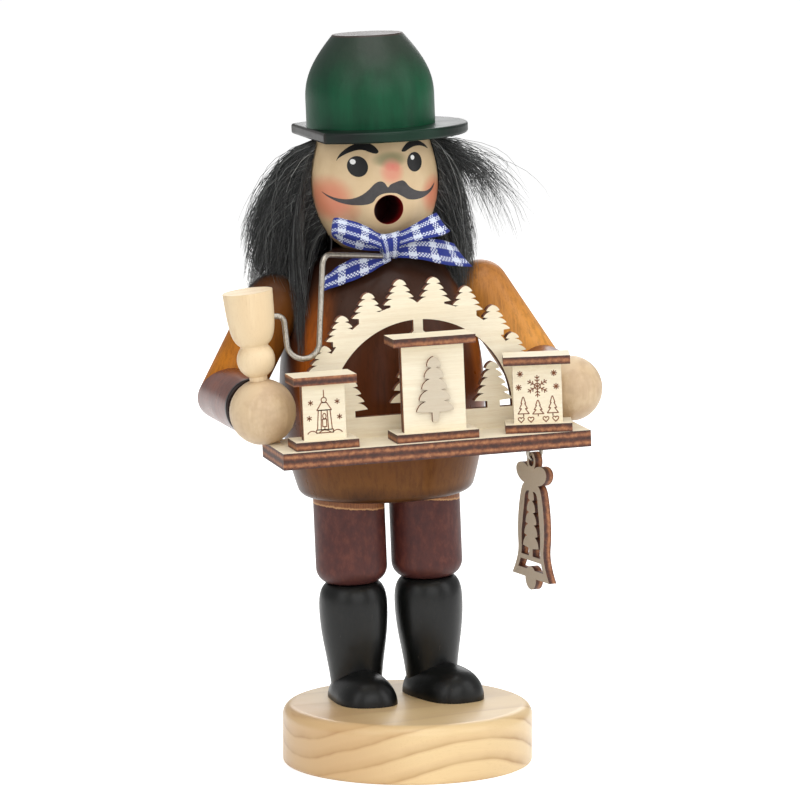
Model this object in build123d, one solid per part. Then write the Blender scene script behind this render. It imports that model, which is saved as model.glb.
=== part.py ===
from build123d import *
import math
import os

# Turned-wood incense smoker: a peddler with a tray. Millimetres, Z up.
# The figure's front is towards -Y and its own right side, with the pipe, towards -X.
# The part's origin is the centre of the base's underside. Everything above the base is drawn
# in the figure's frame, whose zero is on the base's top face, where the figure's axis meets it.

# Base
BASE_DIAMETER = 69.0
BASE_HEIGHT = 16.0
BASE_EDGE_RADIUS = 3.0
AXIS_SETBACK = 13.0
AXIS_ASIDE = -0.4
LEAN = 2.4

# Legs
LEG_SPACING = 21.6
BOOT_HEIGHT = 32.5
BOOT_CALF_RADIUS = 9.5
BOOT_ANKLE_RADIUS = 6.8
BOOT_TOP_RADIUS = 7.4
BOOT_CALF_AT = 24.7
FOOT_HALF_WIDTH = 8.7
FOOT_TOE_REACH = 19.5
FOOT_WIDEST_AT = 7.4
FOOT_HEEL_BACK = 3.7
FOOT_HEEL_HALF_WIDTH = 7.5
FOOT_SPLAY = 8.0
FEET_TURN = 9.0
TROUSER_RADIUS = 9.9
TROUSER_HEIGHT = 25.0
TROUSER_LOW_EDGE_RADIUS = 4.6
TROUSER_TOP_EDGE_RADIUS = 0.55
LEG_DOWEL_RADIUS = 2.5
LEG_DOWEL_IN_BASE = 9.0
LEG_DOWEL_IN_SEAT = 4.5

# Fits
GLUE_GAP = 0.05
SEAT_CLEARANCE = 0.3

# Seat and incense dish
SEAT_HEIGHT = 7.0
DRAFT_BORE_RADIUS = 2.2
DRAFT_BORE_OFFSET = 13.0
DISH_RADIUS = 10.0
DISH_HEIGHT = 3.5
DISH_SHEET = 0.8
NAIL_RADIUS = 0.8
NAIL_HEAD_RADIUS = 2.0
NAIL_HEAD_HEIGHT = 0.8
NAIL_LENGTH = 6.0

# Torso
TORSO_HEIGHT = 68.5
TORSO_RADIUS = 28.4
TORSO_WIDEST_AT = 28.0
TORSO_FOOT_RADIUS = 23.8
TORSO_FOOT_EDGE = 2.8
TORSO_SHOULDER_RADIUS = 23.6
TORSO_SHOULDER_AT = 54.0
NECK_RADIUS = 12.0
CHAMBER_RADIUS = 17.6
CHAMBER_HEIGHT = 46.0
SMOKE_BORE_RADIUS = 4.0
SMOKE_CONE_HEIGHT = 10.0

# Head
HEAD_HEIGHT = 30.3
HEAD_RADIUS = 17.8
HEAD_FOOT_RADIUS = 9.5
HEAD_TOP_RADIUS = 15.4
HEAD_WIDEST_AT = 18.6
MOUTH_RADIUS = 4.05
MOUTH_HEIGHT = 11.3

# Hat
BRIM_RADIUS = 26.6
BRIM_THICKNESS = 3.0
BRIM_FLAT_AT = 18.0
BRIM_EDGE_RADIUS = 0.8
CROWN_RADIUS = 17.7
CROWN_HEIGHT = 25.0
CROWN_STRAIGHT = 8.0
CROWN_TOP_RADIUS = 9.6
CROWN_BEND_RADIUS = 14.8
CROWN_BEND_AT = 18.0
HAT_DOWEL_RADIUS = 3.0
HAT_DOWEL_IN_HEAD = 8.0
HAT_DOWEL_IN_CROWN = 9.0

# Arms
ARM_RADIUS = 8.0
SHOULDER_X = 29.3
SHOULDER_BELOW_NECK = 14.0
ELBOW_X = 43.7
ELBOW_Y = -3.0
HAND_RADIUS = 8.9
HAND_X = 42.5
HAND_Y = -40.0
HAND_SEAT_DEPTH = 0.4
WRIST_SEAT_DEPTH = 0.5
ARM_DOWEL_RADIUS = 2.0
ELBOW_DOWEL_RADIUS = 1.5
ARM_DOWEL_HALF_LENGTH = 5.0

# Tray and its stalls
TRAY_WIDTH = 84.0
TRAY_DEPTH = 26.0
TRAY_THICKNESS = 4.4
TRAY_REAR_Y = -35.0
TRAY_BELOW_NECK = 46.4
TRAY_PIN_RADIUS = 1.25
TRAY_PIN_INSET = 2.6
TRAY_PIN_IN_HAND = 5.0
TRAY_PIN_IN_TRAY = 3.1
PLATE_THICKNESS = 2.3
STALL_PLATE_DEPTH = 10.5
STALL_FRONT_MARGIN = 2.0
STALL_EAVES = 3.0
PANEL_THICKNESS = 3.0
RIGHT_STALL = {"x": -29.4, "panel": (11.5, 14.9), "plate": 17.0, "turn": 0.0}
CENTRE_STALL = {"x": 0.6, "panel": (17.0, 23.2), "plate": 22.4, "turn": 0.0}
LEFT_STALL = {"x": 29.6, "panel": (13.0, 15.9), "plate": 17.8, "turn": -14.0}
STALL_TREE_WIDTH = 10.2
STALL_TREE_HEIGHT = 17.4
STALL_TREE_THICKNESS = 1.0
STALL_TREE_RAISED = 2.6

# Shares that shape every fir tree
FIR_TAPER = 0.8
FIR_BOUGH_LIFT = 0.12
FIR_NOTCH = 0.6
FIR_SWELL_OUT = 0.16
FIR_SWELL_UP = 0.1

# Candle arch
ARCH_Y = -43.0
ARCH_THICKNESS = 2.4
ARCH_INNER_RADIUS = 25.2
ARCH_BAND = 4.6
ARCH_RAIL_HEIGHT = 5.6
ARCH_TREE_HEIGHT = 6.8
ARCH_TREE_WIDTH = 9.2
ARCH_TREE_TRUNK = 5.5
ARCH_TREE_SUNK = 1.4
ARCH_TREES_A_SIDE = 4
ARCH_TREE_STEP = 18.8
SIDE_TREE_X = 20.0
SIDE_TREE_HEIGHT = 12.4
SIDE_TREE_WIDTH = 10.5
MIDDLE_TREE_WIDTH = 17.0
MIDDLE_TREE_HEIGHT = 22.7
MIDDLE_POST_WIDTH = 2.6

# Pipe and its wire stem
PIPE_LEAN = 4.8
PIPE_PEG_RADIUS = 2.4
PIPE_PEG_FROM = 3.0
PIPE_KNOB_RADIUS = 5.1
PIPE_KNOB_AT = 14.2
PIPE_BOWL_FROM = 18.2
PIPE_BOWL_HEIGHT = 14.4
PIPE_BOWL_FOOT_RADIUS = 3.9
PIPE_BOWL_RADIUS = 6.7
PIPE_BOWL_BELLY_RADIUS = 6.2
PIPE_BOWL_BELLY_AT = 6.0
PIPE_WAIST_RADIUS = 3.75
WIRE_RADIUS = 0.75
WIRE_DEPTH_IN_BOWL = 3.0
WIRE_BOWL_HEIGHT = 7.0
WIRE_CORNERS_FROM_NECK = ((-35.6, -39.8, -12.6), (-35.9, -45.0, -23.5), (-28.1, -46.5, -23.9),
                          (-23.8, -38.0, 2.7), (-3.8, -21.2, -0.7))
WIRE_BEND_RADII = (1.9, 4.3, 4.4, 3.6)

# Hair
HAIR_TOP_RADIUS = 20.5
HAIR_SIDE_RADIUS = 31.5
HAIR_ASIDE = -2.5
HAIR_CHEEK_RADIUS = 26.5
HAIR_CHEEK_DROP = 16.4
HAIR_SIDE_DROP = 32.0
HAIR_END_RADIUS = 25.2
HAIR_DROP = 41.0
HAIR_SKIN_GAP = 0.3
HAIR_FACE_HALF_ANGLE = 66.0

# Bow tie
RIBBON_WIDTH = 6.0
RIBBON_THICKNESS = 0.6
KNOT_SIZE = (5.4, 5.2, 6.0)
KNOT_ASIDE = -0.6
KNOT_REAR = 14.4
KNOT_ABOVE_NECK = 2.4
BOW_LOOP_LENGTH = 13.5
BOW_LOOP_DEPTH = 4.4
BOW_LOOP_RISE = 22.0
BOW_TAIL_LENGTH = 19.5
BOW_TAIL_FALL = {"right": 26.0, "left": 14.0}
BOW_TAIL_NOTCH = 2.4
BOW_TAIL_FORWARD = 1.9
BOW_TAIL_DROP = 3.7
BOW_TAIL_ROLL = 40.0

# Hanging bell
BELL_X = 29.8
BELL_Y = -48.0
BELL_TURN = -79.0
BELL_THICKNESS = 2.2
BELL_HEIGHT = 35.0
BELL_RIM_HALF_WIDTH = 11.0
BELL_NECK_DROP = 6.0
BELL_SHOULDER_HALF_WIDTH = 6.2
BELL_SHOULDER_DROP = 3.15
BELL_WAIST_HALF_WIDTH = 7.75
BELL_CROWN_SHARE = 0.4
BELL_WAIST_SHARE = 0.56
BELL_RIM_INSET_SHARE = 1.6
BELL_FRAME = 2.2
BELL_SILL_RISE = 5.3
BELL_SILL_HEIGHT = 1.3
BELL_TREE_WIDTH = 9.3
BELL_STEM_WIDTH = 3.75
BELL_BOW_DROP = 3.6
BELL_RING_RADIUS = 2.5
BELL_HOLE_RADIUS = 1.45
BELL_HOLE_DROP = 0.35
BELL_BOW_HALF_WIDTH = 9.0
BELL_BOW_HALF_HEIGHT = 2.6
BELL_BOW_RISE = 12.0
CLAPPER_RADIUS = 3.2
EYE_RADIUS = 2.0
EYE_WIRE_RADIUS = 0.5
EYE_SHANK = 3.0

# Heights that follow from the sizes above
SEAT_Z = BOOT_HEIGHT + TROUSER_HEIGHT
NECK_Z = SEAT_Z + TORSO_HEIGHT
BRIM_Z = NECK_Z + HEAD_HEIGHT
CROWN_Z = BRIM_Z + BRIM_THICKNESS
TRAY_TOP = NECK_Z - TRAY_BELOW_NECK
HAND_Z = TRAY_TOP + HAND_RADIUS - HAND_SEAT_DEPTH
SEAT_RADIUS = CHAMBER_RADIUS - SEAT_CLEARANCE
TRAY_FRONT_Y = TRAY_REAR_Y - TRAY_DEPTH
STALL_PLATE_FRONT_Y = TRAY_FRONT_Y + STALL_FRONT_MARGIN
PANEL_FRONT_Y = STALL_EAVES - STALL_PLATE_DEPTH / 2
ARCH_RAIL_Z = TRAY_TOP + ARCH_RAIL_HEIGHT
BELL_NECK_Z = -BELL_NECK_DROP
BELL_RIM_Z = CLAPPER_RADIUS - BELL_HEIGHT

SIDES = {"right": -1, "left": 1}
PARTS = {}


def leaned(shape):
    """Place a shape of the figure's frame on the base."""
    return Pos(AXIS_ASIDE, AXIS_SETBACK, BASE_HEIGHT) * Rot(0, -LEAN, 0) * shape


def keep(name, shape):
    PARTS[name] = shape


def turned(edges):
    """Solid turned about Z from edges drawn as (radius, height)."""
    return revolve(Plane.XZ * make_face(edges), Axis.Z)


def turned_between(curve):
    """Close a side curve with flat ends on the axis, and turn it."""
    start = curve @ 0
    end = curve @ 1
    edges = [curve, Line((0, start.Y), (0, end.Y))]
    if start.X > 0:
        edges.append(Line((0, start.Y), (start.X, start.Y)))
    if end.X > 0:
        edges.append(Line((0, end.Y), (end.X, end.Y)))
    return turned(edges)


def rod(radius, start, end):
    """Round rod from one point to another."""
    along = Vector(*end) - Vector(*start)
    place = Plane(origin=start, z_dir=along)
    return extrude(place * Circle(radius), along.length)


def even_face(half_edges):
    """Flat face from the edges of its right half, which start and end on the middle line."""
    return make_face(half_edges + [mirror(edge, Plane.YZ) for edge in half_edges])


def fir(width, height, tiers, trunk):
    """Flat fir tree, foot at the origin, tip up, with a rounded bough on each tier.

    Its proportions are shares of the half width and of a tier's height.
    """
    half = width / 2
    foot = height / (tiers + 2)
    rise = (height - foot) / tiers
    notch = (trunk / 2, foot)
    edges = [Line((0, 0), (trunk / 2, 0)), Line((trunk / 2, 0), notch)]
    for tier in range(tiers):
        bough = (half * (1 - FIR_TAPER * tier / tiers), notch[1] + FIR_BOUGH_LIFT * rise)
        above = (half * FIR_NOTCH * (1 - (tier + 1) / tiers), foot + (tier + 1) * rise)
        middle = ((bough[0] + above[0]) / 2, (bough[1] + above[1]) / 2)
        swell = (middle[0] + FIR_SWELL_OUT * rise, middle[1] + FIR_SWELL_UP * rise)
        edges += [Line(notch, bough), ThreePointArc(bough, swell, above)]
        notch = above
    return even_face(edges)


def base_disc():
    disc = Pos(0, 0, BASE_HEIGHT / 2) * Cylinder(BASE_DIAMETER / 2, BASE_HEIGHT)
    top_edge = disc.edges().sort_by(Axis.Z)[-1]
    disc = fillet(top_edge, BASE_EDGE_RADIUS)
    foot_edge = disc.edges().sort_by(Axis.Z)[0]
    disc = fillet(foot_edge, BASE_EDGE_RADIUS / 4)
    return disc - leaned(leg_dowels(GLUE_GAP))


def leg_dowels(gap=0.0):
    rods = Part()
    for side in SIDES.values():
        x = side * LEG_SPACING / 2
        low = (x, 0, -LEG_DOWEL_IN_BASE - gap)
        high = (x, 0, SEAT_Z + LEG_DOWEL_IN_SEAT + gap)
        rods += rod(LEG_DOWEL_RADIUS + gap, low, high)
    return rods


def on_base(shape):
    """Lean a boot piece and cut its sole flat on the base."""
    room = BASE_DIAMETER + BOOT_HEIGHT
    above = Pos(0, 0, BASE_HEIGHT + room / 2) * Box(2 * room, 2 * room, room)
    return leaned(shape) & above


def boot_shaft(side):
    below = BOOT_ANKLE_RADIUS
    curve = Spline((BOOT_ANKLE_RADIUS, 0), (BOOT_CALF_RADIUS, BOOT_CALF_AT),
                   (BOOT_TOP_RADIUS, BOOT_HEIGHT), tangents=((0.05, 1), (-0.8, 0.6)))
    edges = [curve, Line((BOOT_ANKLE_RADIUS, -below), (BOOT_ANKLE_RADIUS, 0)),
             Line((0, -below), (BOOT_ANKLE_RADIUS, -below)), Line((0, -below), (0, BOOT_HEIGHT)),
             Line((0, BOOT_HEIGHT), (BOOT_TOP_RADIUS, BOOT_HEIGHT))]
    return Pos(side * LEG_SPACING / 2, 0, 0) * turned(edges)


def boot_foot(side):
    """Half egg, turned about its own length and split, with the shaft let into it."""
    curve = Spline((FOOT_HEEL_HALF_WIDTH, -FOOT_HEEL_BACK), (FOOT_HALF_WIDTH, FOOT_WIDEST_AT),
                   (0, FOOT_TOE_REACH), tangents=((0.3, 1), (-1, 0)))
    egg = Rot(90, 0, 0) * turned_between(curve)
    return Pos(side * LEG_SPACING / 2, 0, 0) * Rot(0, 0, side * FOOT_SPLAY + FEET_TURN) * egg


def trouser_leg(side):
    barrel = Pos(0, 0, TROUSER_HEIGHT / 2) * Cylinder(TROUSER_RADIUS, TROUSER_HEIGHT)
    low_edge = barrel.edges().sort_by(Axis.Z)[0]
    barrel = fillet(low_edge, TROUSER_LOW_EDGE_RADIUS)
    top_edge = barrel.edges().sort_by(Axis.Z)[-1]
    barrel = fillet(top_edge, TROUSER_TOP_EDGE_RADIUS)
    return Pos(side * LEG_SPACING / 2, 0, BOOT_HEIGHT) * barrel


def seat_plug():
    plug = Pos(0, 0, SEAT_Z + SEAT_HEIGHT / 2) * Cylinder(SEAT_RADIUS, SEAT_HEIGHT)
    plug = chamfer(plug.edges().sort_by(Axis.Z)[-1], SEAT_CLEARANCE * 3)
    for side in (-1, 1):
        y = side * DRAFT_BORE_OFFSET
        plug -= rod(DRAFT_BORE_RADIUS, (0, y, SEAT_Z), (0, y, SEAT_Z + SEAT_HEIGHT))
    return plug - dish_nail(GLUE_GAP)


def incense_dish():
    """Pressed sheet-metal dish with a turned-up rim and a nail hole."""
    floor = Cylinder(DISH_RADIUS, DISH_HEIGHT)
    hollow = Cylinder(DISH_RADIUS - DISH_SHEET, DISH_HEIGHT)
    dish = Pos(0, 0, DISH_HEIGHT / 2) * floor - Pos(0, 0, DISH_HEIGHT / 2 + DISH_SHEET) * hollow
    return Pos(0, 0, SEAT_Z + SEAT_HEIGHT) * dish - dish_nail(GLUE_GAP)


def dish_nail(gap=0.0):
    head_z = SEAT_Z + SEAT_HEIGHT + DISH_SHEET
    shank = rod(NAIL_RADIUS + gap, (0, 0, head_z - NAIL_LENGTH - gap), (0, 0, head_z))
    return shank + rod(NAIL_HEAD_RADIUS, (0, 0, head_z), (0, 0, head_z + NAIL_HEAD_HEIGHT))


def torso_outside(skin=0.0):
    """Barrel of three arcs: up from the foot to the waist, on to the shoulder, and in to the neck."""
    foot = (TORSO_FOOT_RADIUS + skin, 0)
    waist = (TORSO_RADIUS + skin, TORSO_WIDEST_AT)
    shoulder = (TORSO_SHOULDER_RADIUS + skin, TORSO_SHOULDER_AT)
    neck = (NECK_RADIUS + skin, TORSO_HEIGHT + skin)
    lower = TangentArc(waist, foot, tangent=(0, -1))
    upper = TangentArc(waist, shoulder, tangent=(0, 1))
    top = TangentArc(shoulder, neck, tangent=upper % 1)
    edges = [lower, upper, top, Line(neck, (0, neck[1])), Line((0, neck[1]), (0, 0)), Line((0, 0), foot)]
    barrel = turned(edges)
    barrel = fillet(barrel.edges().sort_by(Axis.Z)[0], TORSO_FOOT_EDGE)
    return Pos(0, 0, SEAT_Z) * barrel


def torso_barrel():
    """Hollow torso: bored from below for the seat and the smoke, and on through the neck."""
    cone_top = CHAMBER_HEIGHT + SMOKE_CONE_HEIGHT
    outline = Polyline((0, 0), (CHAMBER_RADIUS, 0), (CHAMBER_RADIUS, CHAMBER_HEIGHT),
                       (SMOKE_BORE_RADIUS, cone_top), (SMOKE_BORE_RADIUS, TORSO_HEIGHT), (0, TORSO_HEIGHT),
                       close=True)
    return torso_outside() - Pos(0, 0, SEAT_Z) * turned(outline) - shoulder_dowels(GLUE_GAP)


def head_outside(skin=0.0):
    curve = Spline((HEAD_FOOT_RADIUS + skin, 0), (HEAD_RADIUS + skin, HEAD_WIDEST_AT),
                   (HEAD_TOP_RADIUS + skin, HEAD_HEIGHT), tangents=((1, 0.75), (-0.32, 1)))
    return Pos(0, 0, NECK_Z) * turned_between(curve)


def head():
    """Egg head, bored up from the neck and in through the mouth for the smoke."""
    mouth_z = NECK_Z + MOUTH_HEIGHT
    bore_top = mouth_z + MOUTH_RADIUS
    smoke_bore = rod(SMOKE_BORE_RADIUS, (0, 0, NECK_Z), (0, 0, bore_top))
    mouth = rod(MOUTH_RADIUS, (0, -2 * HEAD_RADIUS, mouth_z), (0, 0, mouth_z))
    return head_outside() - smoke_bore - mouth - hat_dowel(GLUE_GAP)


def hat_brim():
    brim = Pos(0, 0, BRIM_Z + BRIM_THICKNESS / 2) * Cylinder(BRIM_RADIUS, BRIM_THICKNESS)
    trimmed_off = Box(BRIM_RADIUS, 3 * BRIM_RADIUS, 3 * BRIM_THICKNESS)
    brim -= Pos(-BRIM_FLAT_AT - BRIM_RADIUS / 2, 0, BRIM_Z) * trimmed_off
    rims = brim.faces().sort_by(Axis.Z)
    brim = fillet(rims[-1].edges() + rims[0].edges(), BRIM_EDGE_RADIUS)
    return brim - hat_dowel(GLUE_GAP)


def hat_crown():
    curve = Spline((CROWN_RADIUS, CROWN_STRAIGHT), (CROWN_BEND_RADIUS, CROWN_BEND_AT),
                   (CROWN_TOP_RADIUS, CROWN_HEIGHT), tangents=((0, 1), (-0.85, 1)))
    edges = [curve, Line((CROWN_RADIUS, 0), (CROWN_RADIUS, CROWN_STRAIGHT)), Line((0, 0), (CROWN_RADIUS, 0)),
             Line((0, 0), (0, CROWN_HEIGHT)), Line((0, CROWN_HEIGHT), (CROWN_TOP_RADIUS, CROWN_HEIGHT))]
    return Pos(0, 0, CROWN_Z) * turned(edges) - hat_dowel(GLUE_GAP)


def hat_dowel(gap=0.0):
    low = BRIM_Z - HAT_DOWEL_IN_HEAD - gap
    high = CROWN_Z + HAT_DOWEL_IN_CROWN + gap
    return rod(HAT_DOWEL_RADIUS + gap, (0, 0, low), (0, 0, high))


def arm_points(side):
    """Shoulder, elbow, wrist and hand centres of one arm."""
    shoulder = Vector(side * SHOULDER_X, 0, NECK_Z - SHOULDER_BELOW_NECK)
    elbow = Vector(side * ELBOW_X, ELBOW_Y, HAND_Z)
    hand = Vector(side * HAND_X, HAND_Y, HAND_Z)
    wrist = hand + (elbow - hand).normalized() * (HAND_RADIUS - WRIST_SEAT_DEPTH)
    return shoulder, elbow, wrist, hand


def mitre(side):
    """Half-space on the hand's side of the elbow's mitre plane."""
    shoulder, elbow, wrist, hand = arm_points(side)
    across = (elbow - shoulder).normalized() + (wrist - elbow).normalized()
    reach = 6 * ARM_RADIUS
    return extrude(Plane(origin=elbow, z_dir=across) * Rectangle(2 * reach, 2 * reach), reach)


def upper_arm(side):
    shoulder, elbow, wrist, hand = arm_points(side)
    down = (elbow - shoulder).normalized()
    arm = rod(ARM_RADIUS, shoulder, elbow + down * 3 * ARM_RADIUS)
    arm += Pos(shoulder) * Sphere(ARM_RADIUS)
    return arm - mitre(side) - torso_outside() - shoulder_dowels(GLUE_GAP) - elbow_dowels(GLUE_GAP)


def forearm(side):
    shoulder, elbow, wrist, hand = arm_points(side)
    back = (elbow - wrist).normalized()
    arm = rod(ARM_RADIUS, elbow + back * 3 * ARM_RADIUS, wrist)
    rim = arm.edges().filter_by(GeomType.CIRCLE).sort_by(Axis.Y)[0]
    arm = fillet(rim, ARM_RADIUS / 12)
    return (arm & mitre(side)) - elbow_dowels(GLUE_GAP) - wrist_dowels(GLUE_GAP)


def hand(side):
    """Ball hand with flats where it meets the cuff and the tray."""
    shoulder, elbow, wrist, centre = arm_points(side)
    back = (elbow - wrist).normalized()
    ball = Pos(centre) * Sphere(HAND_RADIUS)
    slab = 3 * HAND_RADIUS
    ball -= extrude(Plane(origin=wrist, z_dir=back) * Rectangle(slab, slab), slab)
    ball -= Pos(centre.X, centre.Y, TRAY_TOP - slab / 2) * Box(slab, slab, slab)
    ball -= wrist_dowels(GLUE_GAP)
    ball -= tray_pins(GLUE_GAP)
    if side == SIDES["right"]:
        ball -= pipe(GLUE_GAP)
    return ball


def shoulder_dowels(gap=0.0):
    rods = Part()
    for side in SIDES.values():
        shoulder = arm_points(side)[0]
        inner = shoulder - Vector(side * (ARM_DOWEL_HALF_LENGTH * 2 + gap), 0, 0)
        outer = shoulder + Vector(side * (ARM_DOWEL_HALF_LENGTH / 2 + gap), 0, 0)
        rods += rod(ARM_DOWEL_RADIUS + gap, inner, outer)
    return rods


def elbow_dowels(gap=0.0):
    rods = Part()
    for side in SIDES.values():
        shoulder, elbow, wrist, centre = arm_points(side)
        across = ((elbow - shoulder).normalized() + (wrist - elbow).normalized()).normalized()
        half = across * (ARM_DOWEL_HALF_LENGTH + gap)
        rods += rod(ELBOW_DOWEL_RADIUS + gap, elbow - half, elbow + half)
    return rods


def wrist_dowels(gap=0.0):
    rods = Part()
    for side in SIDES.values():
        shoulder, elbow, wrist, centre = arm_points(side)
        half = (elbow - wrist).normalized() * (ARM_DOWEL_HALF_LENGTH + gap)
        rods += rod(ARM_DOWEL_RADIUS + gap, wrist - half, wrist + half)
    return rods


def tray_pins(gap=0.0):
    rods = Part()
    for side in SIDES.values():
        x = side * (TRAY_WIDTH / 2 - TRAY_PIN_INSET)
        low = (x, HAND_Y, TRAY_TOP - TRAY_PIN_IN_TRAY - gap)
        high = (x, HAND_Y, TRAY_TOP + TRAY_PIN_IN_HAND + gap)
        rods += rod(TRAY_PIN_RADIUS + gap, low, high)
    return rods


def tray():
    middle_y = (TRAY_FRONT_Y + TRAY_REAR_Y) / 2
    board = Pos(0, middle_y, TRAY_TOP - TRAY_THICKNESS / 2) * Box(TRAY_WIDTH, TRAY_DEPTH, TRAY_THICKNESS)
    return board - tray_pins(GLUE_GAP) - bell_eye(GLUE_GAP)


def stall_place(stall):
    """A stall's own frame: zero on the tray under the middle of its plates, front towards -Y."""
    middle_y = STALL_PLATE_FRONT_Y + STALL_PLATE_DEPTH / 2
    return Pos(stall["x"], middle_y, TRAY_TOP) * Rot(0, 0, stall["turn"])


def stall_plate(stall, z):
    plate = Box(stall["plate"], STALL_PLATE_DEPTH, PLATE_THICKNESS)
    return stall_place(stall) * Pos(0, 0, z + PLATE_THICKNESS / 2) * plate


def stall_base(stall):
    return stall_plate(stall, 0)


def stall_panel(stall):
    width, height = stall["panel"]
    middle_y = PANEL_FRONT_Y + PANEL_THICKNESS / 2
    panel = Box(width, PANEL_THICKNESS, height)
    return stall_place(stall) * Pos(0, middle_y, PLATE_THICKNESS + height / 2) * panel


def stall_roof(stall):
    return stall_plate(stall, PLATE_THICKNESS + stall["panel"][1])


def stall_tree():
    """Cut-out fir glued on the front of the middle panel."""
    outline = fir(STALL_TREE_WIDTH, STALL_TREE_HEIGHT, 5, STALL_TREE_WIDTH / 6)
    foot = (0, PANEL_FRONT_Y, PLATE_THICKNESS + STALL_TREE_RAISED)
    place = Plane(origin=foot, x_dir=(1, 0, 0), z_dir=(0, -1, 0))
    return stall_place(CENTRE_STALL) * extrude(place * outline, STALL_TREE_THICKNESS)


def arch_outline():
    """Half-round band on a rail, with firs outside, beside and in the middle; origin on the rail's top."""
    outer = ARCH_INNER_RADIUS + ARCH_BAND
    inner = ARCH_INNER_RADIUS
    band = make_face([ThreePointArc((outer, 0), (0, outer), (-outer, 0)), Line((-outer, 0), (-inner, 0)),
                      ThreePointArc((-inner, 0), (0, inner), (inner, 0)), Line((inner, 0), (outer, 0))])
    face = band + Pos(0, -ARCH_RAIL_HEIGHT / 2) * Rectangle(2 * outer, ARCH_RAIL_HEIGHT)
    foot = outer - ARCH_TREE_SUNK
    tree = fir(ARCH_TREE_WIDTH, ARCH_TREE_HEIGHT + ARCH_TREE_SUNK, 4, ARCH_TREE_TRUNK)
    for place in range(ARCH_TREES_A_SIDE):
        angle = math.radians((place + 0.5) * ARCH_TREE_STEP)
        x = foot * math.sin(angle)
        z = foot * math.cos(angle)
        for side in SIDES.values():
            face += Pos(side * x, z) * tree
    side_tree = fir(SIDE_TREE_WIDTH, SIDE_TREE_HEIGHT, 5, SIDE_TREE_WIDTH / 3)
    for side in SIDES.values():
        face += Pos(side * SIDE_TREE_X, 0) * side_tree
    face += fir(MIDDLE_TREE_WIDTH, MIDDLE_TREE_HEIGHT, 6, MIDDLE_TREE_WIDTH / 5)
    face += Pos(0, ARCH_INNER_RADIUS / 2) * Rectangle(MIDDLE_POST_WIDTH, ARCH_INNER_RADIUS + ARCH_BAND / 2)
    return face


def candle_arch():
    place = Plane(origin=(0, ARCH_Y + ARCH_THICKNESS / 2, ARCH_RAIL_Z), x_dir=(1, 0, 0), z_dir=(0, -1, 0))
    return extrude(place * arch_outline(), ARCH_THICKNESS)


def pipe_place():
    """Pipe's own frame: zero at the hand's centre, Z up the bowl."""
    centre = arm_points(SIDES["right"])[3]
    return Pos(centre) * Rot(0, -PIPE_LEAN, 0)


def pipe(gap=0.0):
    """Peg, knob and bowl, turned in one piece."""
    neck_z = PIPE_KNOB_AT - math.sqrt(PIPE_KNOB_RADIUS ** 2 - PIPE_PEG_RADIUS ** 2)
    knob_top = PIPE_KNOB_AT + math.sqrt(PIPE_KNOB_RADIUS ** 2 - PIPE_BOWL_FOOT_RADIUS ** 2)
    peg = rod(PIPE_PEG_RADIUS + gap, (0, 0, PIPE_PEG_FROM - gap), (0, 0, neck_z + PIPE_PEG_RADIUS))
    knob = Pos(0, 0, PIPE_KNOB_AT) * Sphere(PIPE_KNOB_RADIUS + gap)
    bowl_top = PIPE_BOWL_FROM + PIPE_BOWL_HEIGHT
    curve = Spline((PIPE_BOWL_FOOT_RADIUS, PIPE_BOWL_FROM),
                   (PIPE_BOWL_BELLY_RADIUS, PIPE_BOWL_FROM + PIPE_BOWL_BELLY_AT),
                   (PIPE_BOWL_RADIUS, bowl_top), tangents=((1, 0.8), (0.05, 1)))
    bowl = turned_between(curve)
    waist = rod(PIPE_WAIST_RADIUS, (0, 0, knob_top - PIPE_KNOB_RADIUS / 4), (0, 0, PIPE_BOWL_FROM))
    return pipe_place() * (peg + knob + waist + bowl)


def wire_path():
    """Stem's centre line, from inside the bowl to beside the bow."""
    inside = pipe_place() * Pos(PIPE_BOWL_RADIUS - WIRE_DEPTH_IN_BOWL, 0, PIPE_BOWL_FROM + WIRE_BOWL_HEIGHT)
    neck = Vector(0, 0, NECK_Z)
    corners = [inside.position] + [neck + Vector(*corner) for corner in WIRE_CORNERS_FROM_NECK]
    return FilletPolyline(*corners, radius=list(WIRE_BEND_RADII))


def wire_stem(gap=0.0):
    path = wire_path()
    section = Plane(origin=path @ 0, z_dir=path % 0) * Circle(WIRE_RADIUS + gap)
    return sweep(section, path)


def hair():
    """Mass of the fur, from under the brim to the shoulders, open at the face."""
    top = BRIM_Z - HAIR_SKIN_GAP
    low = top - HAIR_DROP
    curve = Spline((HAIR_TOP_RADIUS, top), (HAIR_CHEEK_RADIUS, top - HAIR_CHEEK_DROP),
                   (HAIR_SIDE_RADIUS, top - HAIR_SIDE_DROP), (HAIR_END_RADIUS, low))
    mass = Pos(HAIR_ASIDE, 0, 0) * turned_between(curve)
    reach = 2 * HAIR_SIDE_RADIUS
    slope = math.radians(HAIR_FACE_HALF_ANGLE)
    corner = (reach * math.sin(slope), -reach * math.cos(slope))
    face_wedge = Polyline((0, 0), corner, (corner[0], -reach), (-corner[0], -reach), (-corner[0], corner[1]),
                          close=True)
    mass -= Pos(0, 0, low) * extrude(make_face(face_wedge), HAIR_DROP)
    mass -= head_outside(HAIR_SKIN_GAP)
    mass -= torso_outside(2 * HAIR_SKIN_GAP)
    for side in SIDES.values():
        shoulder, elbow, wrist, centre = arm_points(side)
        mass -= Pos(shoulder) * Sphere(ARM_RADIUS + HAIR_SKIN_GAP)
        mass -= rod(ARM_RADIUS + HAIR_SKIN_GAP, shoulder, elbow)
    return mass.solids().sort_by(SortBy.VOLUME)[-1]


def knot_centre():
    """Middle of the knot, whose upper rear edge lies just in front of the head."""
    return Vector(KNOT_ASIDE, -KNOT_REAR - KNOT_SIZE[1] / 2, NECK_Z + KNOT_ABOVE_NECK)


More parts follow.
